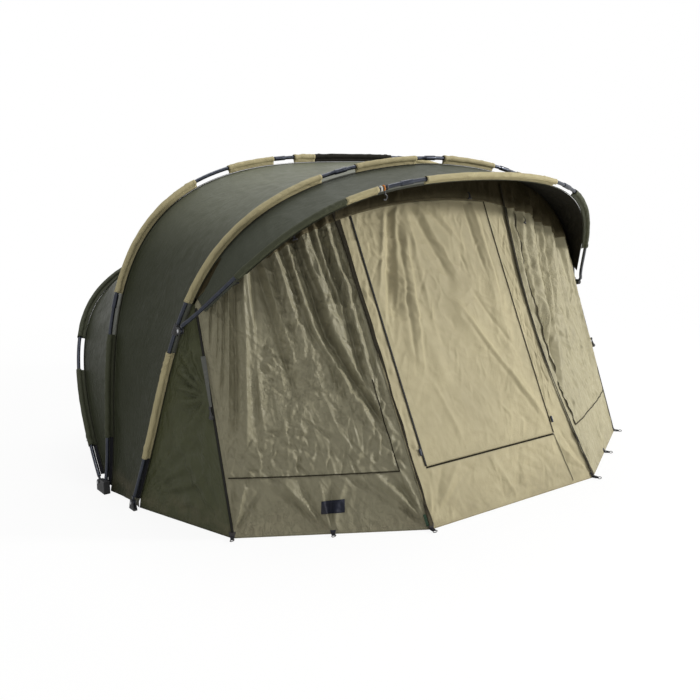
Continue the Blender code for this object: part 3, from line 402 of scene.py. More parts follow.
def webbing_paint(name, colour):
    """Woven tape: a ribbed weave with paler worn threads."""
    paint = Paint(name, colour, 0.8)
    paint.set("Specular IOR Level", TAPE_SHINE)
    where, lying = paint.place(), paint.cloth_place()
    ribs = paint.wave(lying, 260.0, "Y")
    worn = paint.noise(where, 70.0, 4.0, 0.6).ramp(0.5, 0.75)
    shade = paint.mix(ribs * 0.5, tone(colour, 0.8), tone(colour, 1.35))
    shade = paint.mix(worn * 0.35, shade, tone(colour, 1.9))
    return paint.finished(shade, worn.ramp(0.0, 1.0, 0.72, 0.88), paint.bump(ribs, 0.0004, 0.7))


def zip_paint(name, tape, teeth):
    """A zip: plain tape on both sides and a raised row of teeth down the middle."""
    paint = Paint(name, tape, 0.7)
    paint.set("Specular IOR Level", 0.15)
    lying = paint.cloth_place()
    chain = (paint.part(lying, 0) - ZIP_WIDTH / 2.0).maths("ABSOLUTE").fall(0.0026, 0.0032)
    along = paint.part(lying, 1)
    bite = (along * 2400.0).maths("SINE").ramp(-0.3, 0.3)
    weave = paint.wave(lying, 300.0, "Y")
    shade = paint.mix(weave * 0.4, tone(tape, 0.85), tone(tape, 1.25))
    shade = paint.mix(chain, shade, teeth)
    shade = paint.mix(chain * bite * 0.6, shade, tone(teeth, 2.2))
    normal = paint.bump(chain * 0.7 + chain * bite * 0.3, 0.0010, 0.8)
    return paint.finished(shade, chain.ramp(0.0, 1.0, 0.78, 0.42), normal)


KHAKI = (0.345, 0.305, 0.190)
# The side panels' two khakis are the door's khaki made darker as painted shade, the left much more than the
# right.
SHADED_LEFT_KHAKI = (0.222, 0.206, 0.136)
SHADED_RIGHT_KHAKI = (0.292, 0.266, 0.172)
OLIVE = (0.052, 0.056, 0.025)
# The roof cloth is paler at its top and turns far darker down its sides: painted light and shade.
ROOF = (0.108, 0.114, 0.080)
SLEEVE = (0.360, 0.315, 0.180)
BLACK = (0.014, 0.014, 0.015)
looks = {
    "khaki": cloth_paint("khaki_cloth", KHAKI, 0.60, 0.35),
    "shaded_left_khaki": cloth_paint("side_khaki_cloth", SHADED_LEFT_KHAKI, 0.48, 2.6, 0.20),
    "shaded_right_khaki": cloth_paint("right_khaki_cloth", SHADED_RIGHT_KHAKI, 0.55, 1.2, 0.14),
    "side": cloth_paint("side_cloth", OLIVE, 0.46, 1.3, 0.20),
    # Painted light and shade: paler on top, far darker down the sides.
    "roof": cloth_paint("roof_cloth", ROOF, 0.50, 0.55, 0.18, (0.024, 0.027, 0.014)),
    "visor": cloth_paint("visor_cloth", (0.058, 0.063, 0.046), 0.55, 0.4),
    "lining": cloth_paint("dark_lining_cloth", (0.012, 0.011, 0.008), 0.75, 0.6, 0.1),
    # Painted shadow of the visor: a near-black sheet that turns tan over run, near its lower edge.
    "visor_shadow": cloth_paint("header_cloth", (0.032, 0.025, 0.011), 0.7, 1.2, 0.1, (0.130, 0.110, 0.062),
                          (0.110, 0.178)),
    "sleeve": cloth_paint("sleeve_cloth", SLEEVE, 0.6, 1.4),
    "dark_sleeve": cloth_paint("dark_sleeve_cloth", (0.052, 0.056, 0.034), 0.6, 1.0),
    "dark_strip": cloth_paint("dark_strip_cloth", (0.020, 0.017, 0.010), 0.8, 1.0, 0.1),
    "patch": cloth_paint("bare_patch_cloth", (0.020, 0.022, 0.034), 0.6, 0.4),
    "binding": webbing_paint("binding_tape", (0.045, 0.045, 0.032)),
    "webbing": webbing_paint("black_webbing", (0.018, 0.018, 0.022)),
    "green": webbing_paint("green_tag", (0.030, 0.058, 0.036)),
    "strap": webbing_paint("grey_strap", (0.110, 0.112, 0.100)),
    "orange": webbing_paint("orange_mark", (0.520, 0.190, 0.040)),
    "white": webbing_paint("white_mark", (0.620, 0.600, 0.540)),
    "zip": zip_paint("zip_tape", (0.016, 0.014, 0.009), (0.008, 0.008, 0.007)),
    "pole": metal_paint("coated_pole", (0.026, 0.030, 0.042), 0.36),
    "pin": metal_paint("bright_pin", (0.500, 0.510, 0.530), 0.30, 1.0),
    "plastic": plastic_paint("black_plastic", BLACK),
}


# Shapes


def between(start, end, share):
    """The value at a share of the way from start to end."""
    return start + (end - start) * share


def run(start, end, count):
    """Even steps from start to end."""
    return [start + (end - start) * step / count for step in range(count + 1)]


def kept(share):
    """A share held between 0 and 1."""
    return min(max(share, 0.0), 1.0)


def near_edge(across, up, width=1.0, length=1.0):
    """How far a spot on a sheet is from the sheet's nearest edge."""
    return min(min(across, 1.0 - across) * width, min(up, 1.0 - up) * length)


def random_height(*spot):
    """A smooth random value between -1 and 1 that is the same at each run."""
    return noise.noise(Vector(spot))


def made_mesh(bm, name):
    """Turns the work mesh into one that the scene can use."""
    mesh = bpy.data.meshes.new(name)
    bm.to_mesh(mesh)
    bm.free()
    return mesh


def placed(name, data):
    """Puts an object in the scene."""
    made = bpy.data.objects.new(name, data)
    bpy.context.scene.collection.objects.link(made)
    return made


def upright_to(way):
    """The turn that lays the Z axis along a way."""
    return UP.rotation_difference(way).to_matrix()


def bezier(points, share):
    """The point at a share of the curve that the points steer."""
    while len(points) > 1:
        points = [a.lerp(b, share) for a, b in zip(points, points[1:])]
    return points[0]


def lengths(points):
    """The length run so far at each of the points."""
    marks = [0.0]
    for a, b in zip(points, points[1:]):
        marks.append(marks[-1] + (b - a).length)
    return marks


def part_way(points, marks, goal):
    """The spot on a run of points where its length so far is the goal."""
    index = min(max(bisect.bisect_left(marks, goal) - 1, 0), len(points) - 2)
    share = (goal - marks[index]) / (marks[index + 1] - marks[index])
    return points[index].lerp(points[index + 1], min(share, 1.0))


class Rib:
    """A hoop in one plane from its left foot over the crown to its right foot."""

    STEPS = 400

    def __init__(self, foot, top, bend, neck=0.0):
        foot, top = Vector(foot), Vector((0.0, *top))
        rise = Vector((0.0, top.y - foot.y, top.z - foot.z))
        self.up = rise.normalized()
        self.across = X_AXIS.cross(self.up)
        rise = rise - self.up * neck
        start = foot + self.up * neck
        steer = [start]
        for wide, high in ((bend[0], bend[1]), (bend[2], bend[3]), (bend[4], 1.0)):
            steer.append(Vector((start.x * wide, start.y, start.z)) + rise * high)
        half = [bezier(steer + [top], step / 200) for step in range(201)]
        mirror = Vector((LEFT, 1.0, 1.0))
        fine = [point * mirror for point in half] + half[-2::-1]
        if neck:
            fine = [foot * mirror] + fine + [foot]
        marks = lengths(fine)
        self.length = marks[-1]
        self.points = [part_way(fine, marks, self.length * step / self.STEPS) for step in range(self.STEPS + 1)]

    def frame(self, share):
        """The point at a share of the length, and the outward and lengthwise directions there."""
        place = kept(share) * self.STEPS
        index = min(int(place), self.STEPS - 1)
        point = self.points[index].lerp(self.points[index + 1], place - index)
        low, high = max(index - 2, 0), min(index + 3, self.STEPS)
        along = (self.points[high] - self.points[low]).normalized()
        return point, self.across.cross(along), along

    def at(self, share, out=0.0, side=0.0):
        point, outward, along = self.frame(share)
        return point + outward * out + self.across * side

    def canopy(self, share):
        return self.at(share, -STANDOFF)

    def joint(self, share):
        return (int(share * RIB_SEGMENTS) + 0.5) / RIB_SEGMENTS

    def share_at_height(self, height):
        for index in range(self.STEPS):
            low, high = self.points[index].z, self.points[index + 1].z
            if low <= height <= high:
                return (index + (height - low) / (high - low)) / self.STEPS
        return 0.0


def finish(mesh, name, look, body, replaced=(), smooth=True):
    """Makes a finished piece of a mesh, riding on a body."""
    if smooth:
        mesh.shade_smooth()
    mesh.materials.append(looks[look])
    made = placed(name, mesh)
    if body:
        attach(made, body)
    for node in replaced:
        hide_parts(node)
    return made


def sheet_mesh(name, columns, rows, place, size, thick=SHOWN_CLOTH, leave_out=None, edge_at=None, lined=False):
    """A cloth mesh with two faces, thick apart. place gives the point at a share across and a share up,
    size its cut in metres. A lined cloth has its own finish inside."""
    bm = bmesh.new()
    bmesh.ops.create_grid(bm, x_segments=columns, y_segments=rows, size=0.5)
    bmesh.ops.translate(bm, verts=bm.verts, vec=(0.5, 0.5, 0.0))
    if leave_out:
        gone = [face for face in bm.faces if leave_out(*face.calc_center_median()[:2])]
        bmesh.ops.delete(bm, geom=gone, context="FACES")
    lying = bm.loops.layers.uv.new("cloth")
    edge = bm.verts.layers.float.new("edge")
    share = bm.verts.layers.float.new("across")
    for face in bm.faces:
        for loop in face.loops:
            loop[lying].uv = (loop.vert.co.x * size[0], loop.vert.co.y * size[1])
    for vert in bm.verts:
        across, up = vert.co.x, vert.co.y
        vert[share] = across
        vert[edge] = edge_at(across, up) if edge_at else near_edge(across, up, *size)
        vert.co = place(across, up)
    made = bmesh.ops.extrude_face_region(bm, geom=bm.faces[:])
    bm.normal_update()
    for part in made["geom"]:
        if isinstance(part, bmesh.types.BMVert):
            part.co -= part.normal * thick
        elif lined and isinstance(part, bmesh.types.BMFace):
            part.material_index = 1
    bmesh.ops.recalc_face_normals(bm, faces=bm.faces)
    return made_mesh(bm, name)


def tube(name, points, radius, look, body, replaced=(), radii=None):
    """A round bar along points. radii are shares of the radius at each of them."""
    curve = bpy.data.curves.new(name, "CURVE")
    curve.dimensions = "3D"
    curve.bevel_depth = radius
    curve.bevel_resolution = TUBE_ROUNDING
    curve.use_fill_caps = True
    line = curve.splines.new("POLY")
    line.points.add(len(points) - 1)
    for index, point in enumerate(points):
        line.points[index].co = (*point, 1.0)
        line.points[index].radius = radii[index] if radii else 1.0
    holder = bpy.data.objects.new(name + "_line", curve)
    mesh = bpy.data.meshes.new_from_object(holder)
    bpy.data.objects.remove(holder)
    return finish(mesh, name, look, body, replaced)


def creased(place, size, depth, seed):
    """Creases of crumpled cloth: sharp ridges with soft hollows between."""
    spot = Vector((place[0] / size, place[1] / size, seed))
    aside = Vector((9.0, 3.0, 1.0))
    warp = Vector((noise.noise(spot * 0.7), noise.noise(spot * 0.7 + aside), 0.0)) * 0.8
    value = noise.noise(spot + warp)
    return depth * (0.6 - min(abs(value) * 3.2, 1.0)) + depth * 0.35 * noise.noise(spot * 2.7)


# Ribs

main_rib = Rib(MAIN_FOOT, MAIN_TOP, MAIN_BEND)
front_rib = Rib(FRONT_FOOT, FRONT_TOP, FRONT_BEND)
peak_rib = Rib(PEAK_FOOT, PEAK_TOP, PEAK_BEND, NECK)
rear_rib = Rib(REAR_FOOT, REAR_TOP, REAR_BEND)
knuckle_share = front_rib.share_at_height(KNUCKLE_Z)
seam_share = knuckle_share + 0.030
low_sleeves = [(0.045, knuckle_share - 0.022), (knuckle_share + 0.026, 0.370), (0.409, 0.482)]
FRONT_SLEEVES = low_sleeves + [(1.0 - b, 1.0 - a) for a, b in reversed(low_sleeves)]


def build_pole(name, rib, start, end, body, socket=True, eye=False):
    """A pole section. Its far end swells into the ferrule that holds the next section."""
    count = max(int(abs(end - start) * 160), 8)
    shares = run(start, end, count)
    points = [rib.at(share) for share in shares]
    radii = [1.0] * len(points)
    if socket:
        way = 1.0 if end > start else -1.0
        half = FERRULE_HALF / rib.length * way
        swell = FERRULE_R / POLE_R
        points = [point for point, share in zip(points, shares) if (end - half * 1.05 - share) * way > 0.0]
        radii = [1.0] * len(points)
        for offset, size in ((-half, 1.0), (-half * 0.97, swell * 0.98), (-half * 0.9, swell),
                             (half * 0.9, swell), (half * 0.97, swell * 0.98), (half, 1.02)):
            points.append(rib.at(end + offset))
            radii.append(size)
    tube(name + "_tube", points, POLE_R, "pole", body, [name], radii)
    if eye:
        build_eye(name, rib, 0.0 if start < 0.5 else 1.0, body)


def build_eye(name, rib, share, body):
    """The flat eye that turns on the pin at a pole's foot."""
    bm = bmesh.new()
    bmesh.ops.create_cone(bm, cap_ends=True, segments=32, radius1=0.012, radius2=0.012, depth=0.008)
    bmesh.ops.rotate(bm, verts=bm.verts, matrix=upright_to(X_AXIS))
    rim = [edge for edge in bm.edges if abs(edge.verts[0].co.x - edge.verts[1].co.x) < GAP]
    bmesh.ops.bevel(bm, geom=rim, offset=0.0008, affect="EDGES", segments=2, profile=0.5, material=-1)
    waist = bmesh.ops.create_cube(bm, size=1.0)["verts"]
    bmesh.ops.scale(bm, verts=waist, vec=(0.0076, 0.013, 0.032))
    bmesh.ops.translate(bm, verts=waist, vec=(0.0, 0.0, 0.018))
    bmesh.ops.rotate(bm, verts=bm.verts, matrix=upright_to(rib.up))
    bmesh.ops.translate(bm, verts=bm.verts, vec=rib.at(share))
    finish(made_mesh(bm, name + "_eye"), name + "_eye", "pole", body, smooth=False)


def build_poles(name, rib, joints, body, eyes):
    """All sections of one rib, each in the place of its own solid."""
    foot = POLE_FOOT / rib.length if eyes else 0.0
    crown = joints[-1][0] < joints[-1][1]
    for side, word in ((0, "left"), (1, "right")):
        low = foot if side == 0 else 1.0 - foot
        for place, pair in enumerate(joints):
            label = ("lower", "upper")[place] if len(joints) > 1 or crown else "half"
            socket = side == 0 or crown or pair is not joints[-1]
            end = rib.joint(pair[side])
            build_pole(f"{name}_pole_{word}_{label}", rib, low, end, body, socket, eyes and place == 0)
            low = end
    if crown:
        build_pole(f"{name}_pole_crown", rib, rib.joint(joints[-1][0]), rib.joint(joints[-1][1]), body, False)


def sleeve_profile(across):
    """Out and sideways places round a sleeve: up one side of its fin, over the pole and down again."""
    fin_end, fin_half, fin_share = -(STANDOFF - CLOTH / 2), 0.0012, 0.22
    neck = math.radians(14.0)
    if across < fin_share or across > 1.0 - fin_share:
        side = LEFT if across < 0.5 else RIGHT
        share = min(across, 1.0 - across) / fin_share
        top_out, top_side = -SLEEVE_R * math.cos(neck), side * SLEEVE_R * math.sin(neck)
        return between(fin_end, top_out, share), between(side * fin_half, top_side, share)
    angle = math.pi - neck - (math.pi - neck) * 2 * (across - fin_share) / (1.0 - fin_share * 2)
    return SLEEVE_R * math.cos(angle), -SLEEVE_R * math.sin(angle)


def build_sleeve(name, rib, start, end, look, body, seed, slot=None, replaced=()):
    """A soft sleeve with its fin, gathered a little toward both ends. slot is a gap that bares the pole."""
    length = (end - start) * rib.length
    rows = max(int(length / 0.010), 12)

    def leave_out(across, up):
        return slot[0] < between(start, end, up) < slot[1]

    def place(across, up):
        out, side = sleeve_profile(across)
        near = math.exp(-min(up, 1.0 - up) * length / 0.09)
        ruck = random_height(across * 3.0, up * length * (26.0 + 30.0 * near), seed)
        ring = kept((out + 0.022) / 0.012)
        ripple = ruck * (0.0012 + 0.0050 * near) * ring
        drift = 0.0015 * random_height(up * length * 5.0, seed, 2.0) * ring
        grow = 1.0 + max(ripple, -0.0004) / SLEEVE_R
        return rib.at(between(start, end, up), out * (grow if out > -0.013 else 1.0), side * grow + drift)

    mesh = sheet_mesh(name, 36, rows, place, (0.120, length), 0.0008, leave_out if slot else None)
    piece = finish(mesh, name + "_cloth", look, body, replaced)
    say_sheet(piece, sheet_area(mesh) / length, length, "stretched")


def sheet_area(mesh):
    """Half of a walled cloth's surface, which is its cut's flat area."""
    return sum(face.area for face in mesh.polygons) / 2.0


def say_sheet(piece, width, length, how, on=()):
    """Works out a cloth's flat cut, which is longer than its place where folds take up cloth, and keeps nothing
    of it.
    """
    area = sheet_area(piece.data)
    max(length, area / width)
    list(on)


build_camera()
build_poles("main_rib", main_rib, ((0.168, 0.832), (0.424, 0.576)), "base", False)
build_poles("front_rib", front_rib, ((0.392, 0.608), (0.500, 0.500)), "front_rib", True)
build_poles("peak_rib", peak_rib, ((0.365, 0.687),), "peak_rib", True)
build_poles("rear_rib", rear_rib, ((0.500, 0.500),), "rear_rib", True)


# Front panels, the same cut as in the part with finer folds

CELL = 0.060
CRUMPLE_EDGE = 0.030
CREASE_TURNS = (58.0, 75.0, 100.0, 128.0, 150.0)
CREASE_SWING = 14.0
CREASE_REACH = (0.025, 0.090)
CREASE_WIDTH = (0.008, 0.017)
COVER_LIFT = 0.0026


class Panel:
    """A front panel ruled from a straight hem to a line under the front rib."""

    def __init__(self, hem, shares, folds, creases, bow=0.0, bow_from=1.0, seed=1.0, crumpled=None):
        self.hem = [Vector((*corner, HEM_Z)) for corner in hem]
        self.shares = shares
        self.folds = folds
        self.creases = creases
        self.bow = bow
        self.bow_from = bow_from
        self.seed = seed
        self.kept = {}
        left, right = self.line(0.0), self.line(1.0)
        self.normal = (right[0] - left[0]).cross(left[1] + right[1] - left[0] - right[0]).normalized()
        self.width = ((right[0] - left[0]).length + (right[1] - left[1]).length) / 2
        self.length = ((left[1] - left[0]).length + (right[1] - right[0]).length) / 2
        self.small = self.scatter(crumpled or ())

    def scatter(self, zones):
        """Short straight creases strewn over zones: (across and up from, across and up to, count, size)."""
        chance = random.Random(int(self.seed * 10))
        found = {}
        for x0, y0, x1, y1, count, size in zones:
            for _ in range(count):
                middle = (chance.uniform(x0, x1) * self.width, chance.uniform(y0, y1) * self.length)
                turn = chance.choice(CREASE_TURNS) + chance.uniform(-CREASE_SWING, CREASE_SWING)
                turn = math.radians(turn)
                reach = chance.uniform(*CREASE_REACH)
                crease = (middle, (math.cos(turn), math.sin(turn)), reach, chance.uniform(*CREASE_WIDTH),
                          size * chance.choice((-1.0, 1.0)) * chance.uniform(0.35, 1.0))
                columns, rows = (range(int((spot - reach) / CELL), int((spot + reach) / CELL) + 1)
                                 for spot in middle)
                for cell in itertools.product(columns, rows):
                    found.setdefault(cell, []).append(crease)
        return found

    def line(self, across):
        if across not in self.kept:
            foot = self.hem[0].lerp(self.hem[1], across)
            top = front_rib.canopy(between(*self.shares, across))
            self.kept[across] = foot, top - (top - foot).normalized() * FRONT_INSET
        return self.kept[across]

    def up(self, across, level):
        foot, top = self.line(across)
        skirt = (SKIRT_Z - foot.z) / (top.z - foot.z)
        return skirt * level if level < 1.0 else between(skirt, PANEL_TOP, level - 1.0)

    def fold(self, across, up):
        depth = 0.0
        for x0, y0, x1, y1, width, share in self.folds:
            run_x, run_y = x1 - x0, y1 - y0
            along = kept(((across - x0) * run_x + (up - y0) * run_y) / (run_x ** 2 + run_y ** 2))
            off = math.hypot(across - x0 - run_x * along, up - y0 - run_y * along)
            depth += share * math.exp(-(off / width) ** 2)
        return depth * FOLD_DEPTH * kept(near_edge(across, up) / FOLD_EDGE)

    def crumple(self, across, up):
        """Sharp folds along the drawn creases and fine crumples between them."""
        edge = near_edge(across, up, self.width, self.length)
        place = (across * self.width, up * self.length)
        calm = 0.5 + 0.7 * random_height(place[0] * 2.1, place[1] * 1.7, self.seed + 7.0)
        fine = creased(place, 0.090, 0.0042, self.seed) * min(max(calm, 0.12), 1.0)
        wander = 0.010 * random_height(place[0] * 6.0, place[1] * 6.0, self.seed + 3.0)
        for x0, y0, x1, y1, width, size in self.creases:
            run_x, run_y = (x1 - x0) * self.width, (y1 - y0) * self.length
            off_x, off_y = place[0] - x0 * self.width, place[1] - y0 * self.length
            total = math.hypot(run_x, run_y)
            along = (off_x * run_x + off_y * run_y) / total ** 2
            aside = (off_x * run_y - off_y * run_x) / total + wander
            if -0.15 < along < 1.15 and abs(aside) < width * self.width * 3.5:
                fade = kept((along + 0.15) / 0.25) * kept((1.15 - along) / 0.30)
                fine += size * fade * math.exp(-(abs(aside) / (width * self.width)) ** 1.6)
        for middle, way, reach, width, size in self.small.get((int(place[0] / CELL), int(place[1] / CELL)), ()):
            off_x, off_y = place[0] - middle[0], place[1] - middle[1]
            along = abs(off_x * way[0] + off_y * way[1]) / reach
            aside = abs(off_x * way[1] - off_y * way[0]) / width
            if along < 1.0 and aside < 1.0:
                fine += size * (1.0 - along * along) * (1.0 - aside)
        return fine * kept(edge / CRUMPLE_EDGE)

    def base(self, across, up):
        foot, top = self.line(across)
        return foot.lerp(top, up)

    def point(self, across, up, lift=0.0, folded=True):
        height = self.fold(across, up) + self.crumple(across, up) if folded else 0.0
        share = (across - self.bow_from) / (1.0 - self.bow_from) if self.bow_from < 1.0 else 1.0 - across
        bow = self.bow * math.sin(math.pi * min(up, 1.0)) * max(share, 0.0)
        return self.base(across, up) + self.normal * (height + lift) - X_AXIS * bow

    def at(self, across, level, lift=0.0, folded=True):
        return self.point(across, self.up(across, level), lift, folded)


class DoorPanel(Panel):
    """The middle panel: flat up to the door's top, then drawn to the rib."""

    def base(self, across, up):
        foot, top = self.line(across)
        slopes = []
        for edge in (0.0, 1.0):
            low, high = self.line(edge)
            slopes.append((high.y - low.y) / (high.z - low.z))
        flat = Vector((top.x, foot.y + between(*slopes, across) * (top.z - foot.z), top.z))
        return foot.lerp(flat, up) + (top - flat) * up ** 3

    def from_door(self, across, up):
        """How far a spot is from the lines of the door's sides, and from those of its ends."""
        ends = [self.up(across, level) for level in (1.0, 1.0 + DOOR_TOP)]
        return min(abs(across - side) for side in DOOR_SIDES), min(abs(up - end) for end in ends)

    def fold(self, across, up):
        beside, above = self.from_door(across, up)
        return super().fold(across, up) * min(min(beside, above) / FOLD_EDGE, 1.0)

    def crumple(self, across, up):
        beside, above = self.from_door(across, up)
        edge = beside * self.width
        if DOOR_SIDES[0] < across < DOOR_SIDES[1]:
            edge = min(edge, above * self.length)
        return super().crumple(across, up) * min(edge / CRUMPLE_EDGE, 1.0)


def deeper(folds, share):
    """The same creases, a share as deep."""
    return [(*fold[:5], fold[5] * share) for fold in folds]


def mirrored(folds):
    """The same folds, left and right swapped."""
    return [(1.0 - x0, y0, 1.0 - x1, y1, *rest) for x0, y0, x1, y1, *rest in folds]


door_hem = ((-DOOR_HEM_HALF, -HALF_DEPTH), (DOOR_HEM_HALF, -HALF_DEPTH))
side_creases = deeper(SIDE_CREASES, 1.9) + deeper(SKIRT_CREASES, 2.8)
side_zones = ((0.36, 0.20, 0.95, 0.68, 240, 0.0090), (0.05, 0.18, 0.50, 0.36, 90, 0.0070),
              (0.03, 0.30, 0.45, 0.92, 80, 0.0040), (0.55, 0.64, 0.97, 0.95, 140, 0.0085),
              (0.90, 0.18, 0.99, 0.95, 90, 0.0075), (0.05, 0.02, 0.95, 0.15, 70, 0.0045))
door_zones = ((0.07, 0.55, 0.36, 0.92, 80, 0.0045), (0.40, 0.66, 0.80, 0.92, 60, 0.0032),
              (0.30, 0.20, 0.82, 0.66, 60, 0.0022), (0.84, 0.20, 0.98, 0.95, 90, 0.0045),
              (0.01, 0.20, 0.06, 0.95, 60, 0.0045), (0.03, 0.02, 0.97, 0.14, 60, 0.0025))
left_panel = Panel(((-CORNER[0], CORNER[1]), door_hem[0]), (seam_share, RIDGES[0]), SIDE_FOLDS,
                   side_creases, seed=2.0, crumpled=side_zones)
right_panel = Panel((door_hem[1], CORNER), (RIDGES[1], 1.0 - seam_share), mirrored(SIDE_FOLDS),
                    mirrored(SIDE_CREASES + SKIRT_CREASES), bow=RIGHT_BOW, seed=5.0,
                    crumpled=[(1.0 - x1, y0, 1.0 - x0, y1, number, size * 0.55)
                              for x0, y0, x1, y1, number, size in side_zones])
middle_panel = DoorPanel(door_hem, RIDGES, DOOR_FOLDS, DOOR_CREASES + DOOR_SKIRT_CREASES, bow=RIGHT_BOW,
                         bow_from=DOOR_SIDES[1], seed=8.0, crumpled=door_zones)

# Shares of the surround's grid where the door's edges lie
DOOR_COLUMNS = (0.07, 0.835)
DOOR_ROWS = (0.18, 0.91)
COLUMN_STEPS = ((0.0, 0.0), *zip(DOOR_COLUMNS, DOOR_SIDES), (1.0, 1.0))
ROW_STEPS = ((0.0, 0.0), *zip(DOOR_ROWS, (1.0, 1.0 + DOOR_TOP)), (1.0, 2.0))


def stepped(share, steps):
    """A share of a grid as a share of the cloth, so that grid lines fall on the door's edges."""
    for (low, start), (high, end) in zip(steps, steps[1:]):
        if share <= high:
            break
    return start + (end - start) * (share - low) / (high - low)


def in_door(across, up):
    """Whether a place on the surround's grid is in the door opening."""
    return DOOR_COLUMNS[0] < across < DOOR_COLUMNS[1] and DOOR_ROWS[0] < up < DOOR_ROWS[1]


WHOLE = (0.0, 1.0)
WHOLE_HEIGHT = (0.0, 2.0)


def build_panel(node, panel, grid, sides, levels, look, body, on, lift=0.0, leave_out=None):
    """Part of a front panel between two shares across and two levels, as one cloth."""
    size = (panel.width * (sides[1] - sides[0]), panel.length * (levels[1] - levels[0]) / 2.0)
    if levels[0] >= 1.0:
        size = (size[0], (panel.length - SKIRT_Z) * (levels[1] - levels[0]))

    def place(across, up):
        level = between(*levels, up)
        if levels == WHOLE_HEIGHT:
            across, level = stepped(across, COLUMN_STEPS), stepped(up, ROW_STEPS)
        return panel.at(between(*sides, across), level, lift)

    mesh = sheet_mesh(node + "_cloth", *grid, place, size, leave_out=leave_out)
    say_sheet(finish(mesh, node + "_cloth", look, body, [node]), *size, "hung", [on])


# The side panels take the darker khakis of painted shade.
for word, panel, look in (("left", left_panel, "shaded_left_khaki"), ("right", right_panel, "shaded_right_khaki")):
    cover = COVER_SIDES if word == "left" else (1.0 - COVER_SIDES[1], 1.0 - COVER_SIDES[0])
    build_panel(f"front_panel_{word}", panel, (120, 200), WHOLE, WHOLE_HEIGHT, look, "front_rib",
                f"front_rib_sleeve_{word}_upper_cloth")
    build_panel(f"window_cover_{word}", panel, (180, 250), cover, (1.0, 1.0 + COVER_TOP), look, "front_rib",
                f"front_panel_{word}_cloth", COVER_LIFT)
build_panel("door_surround", middle_panel, (200, 200), WHOLE, WHOLE_HEIGHT, "khaki", "front_rib",
            "front_rib_sleeve_left_crown_cloth", leave_out=in_door)
build_panel("door_panel", middle_panel, (150, 200), DOOR_SIDES, (1.002, 0.998 + DOOR_TOP), "khaki", "door",
            "door_surround_cloth")


# Sleeves

for name, rib, runs, words, look, body in (
        ("main_rib", main_rib, MAIN_SLEEVES, MAIN_WORDS, "sleeve", "base"),
        ("front_rib", front_rib, FRONT_SLEEVES, FRONT_WORDS, "sleeve", "front_rib"),
        ("peak_rib", peak_rib, PEAK_SLEEVES, ("left", "crown", "right"), "sleeve", "peak_rib"),
        ("rear_rib", rear_rib, REAR_SLEEVES, ("left", "right"), "dark_sleeve", "rear_rib")):
    for index, (word, (start, end)) in enumerate(zip(words, runs)):
        node, slot = f"{name}_sleeve_{word}", None
        # Painted shade: the main rib's lower sleeves and the peak rib's side sleeves are drawn in the dark
        # sleeve cloth.
        in_painted_shade = node.startswith(("main", "peak")) and word in ("left_lower", "right_lower", "left", "right")
        if name == "rear_rib":
            slot = REAR_SLOT if word == "left" else (1.0 - REAR_SLOT[1], 1.0 - REAR_SLOT[0])
        if node == "main_rib_sleeve_crown":
            build_sleeve(node + "_far", rib, CROWN_DARK, end, "lining", body, 1.0)
            end = CROWN_DARK
        if node == "peak_rib_sleeve_left":
            build_sleeve(node + "_collar", rib, PEAK_COLLAR, end, "sleeve", body, 5.0)
            end = PEAK_COLLAR
        build_sleeve(node, rib, start, end, "dark_sleeve" if in_painted_shade else look, body, index * 3.7, slot, [node])


# Canopy


def blended(piece, first, second, shares):
    """Works out a share for each point across a bay, then puts the points back where they were."""
    places = [vert.co.copy() for vert in piece.data.vertices]
    for vert, share in zip(piece.data.vertices, shares):
        angle = math.acos(1.0 - 2.0 * kept(share))
        vert.co = (0.5 - math.cos((math.pi + angle) / 3.0), 0.0, 0.0)
    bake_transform(piece)
    for vert, place in zip(piece.data.vertices, places):
        vert.co = place


def inward(a, b, depth):
    """How far the cloth between two rib points is drawn toward the middle."""
    middle = (a + b) / 2
    push = Vector((-middle.x, 0.0, -middle.z))
    return push.normalized() * depth if push.length > depth else Vector()


def bay_point(rib_a, rib_b, starts, across, up, depth, seed, folds):
    """A point of a bay: straight between two ribs, drawn in a little, with folds from its corners."""
    a = rib_a.at(starts[0] + (1.0 - starts[0] * 2) * up, -STANDOFF)
    b = rib_b.at(starts[1] + (1.0 - starts[1] * 2) * up, -STANDOFF)
    span = (b - a).length
    way = (b - a).normalized()
    point = (a + way * SEAM_INSET).lerp(b - way * SEAM_INSET, across)
    push = inward(a, b, depth * min(span / 1.581, 1.0) * 2)
    out = -push.normalized() if push.length else UP
    calm = math.sin(math.pi * across)
    place = (across * span, up * rib_b.length)
    ripple = 0.0
    for slant, pitch, size in folds:
        ripple += size * math.sin((place[1] + slant * place[0]) * math.tau / pitch
                                  + 2.0 * random_height(place[0] * 1.3, place[1] * 1.3, seed))
    wander = random_height(place[0] * 1.1, place[1] * 0.9, seed + 4.0)
    height = ripple * max(wander + 0.35, 0.0) * min(span / 0.4, 1.0)
    height += creased(place, 0.16, 0.0020, seed) * min(span / 0.3, 1.0)
    return point + push * calm + out * height * min(calm * 1.6, 1.0)


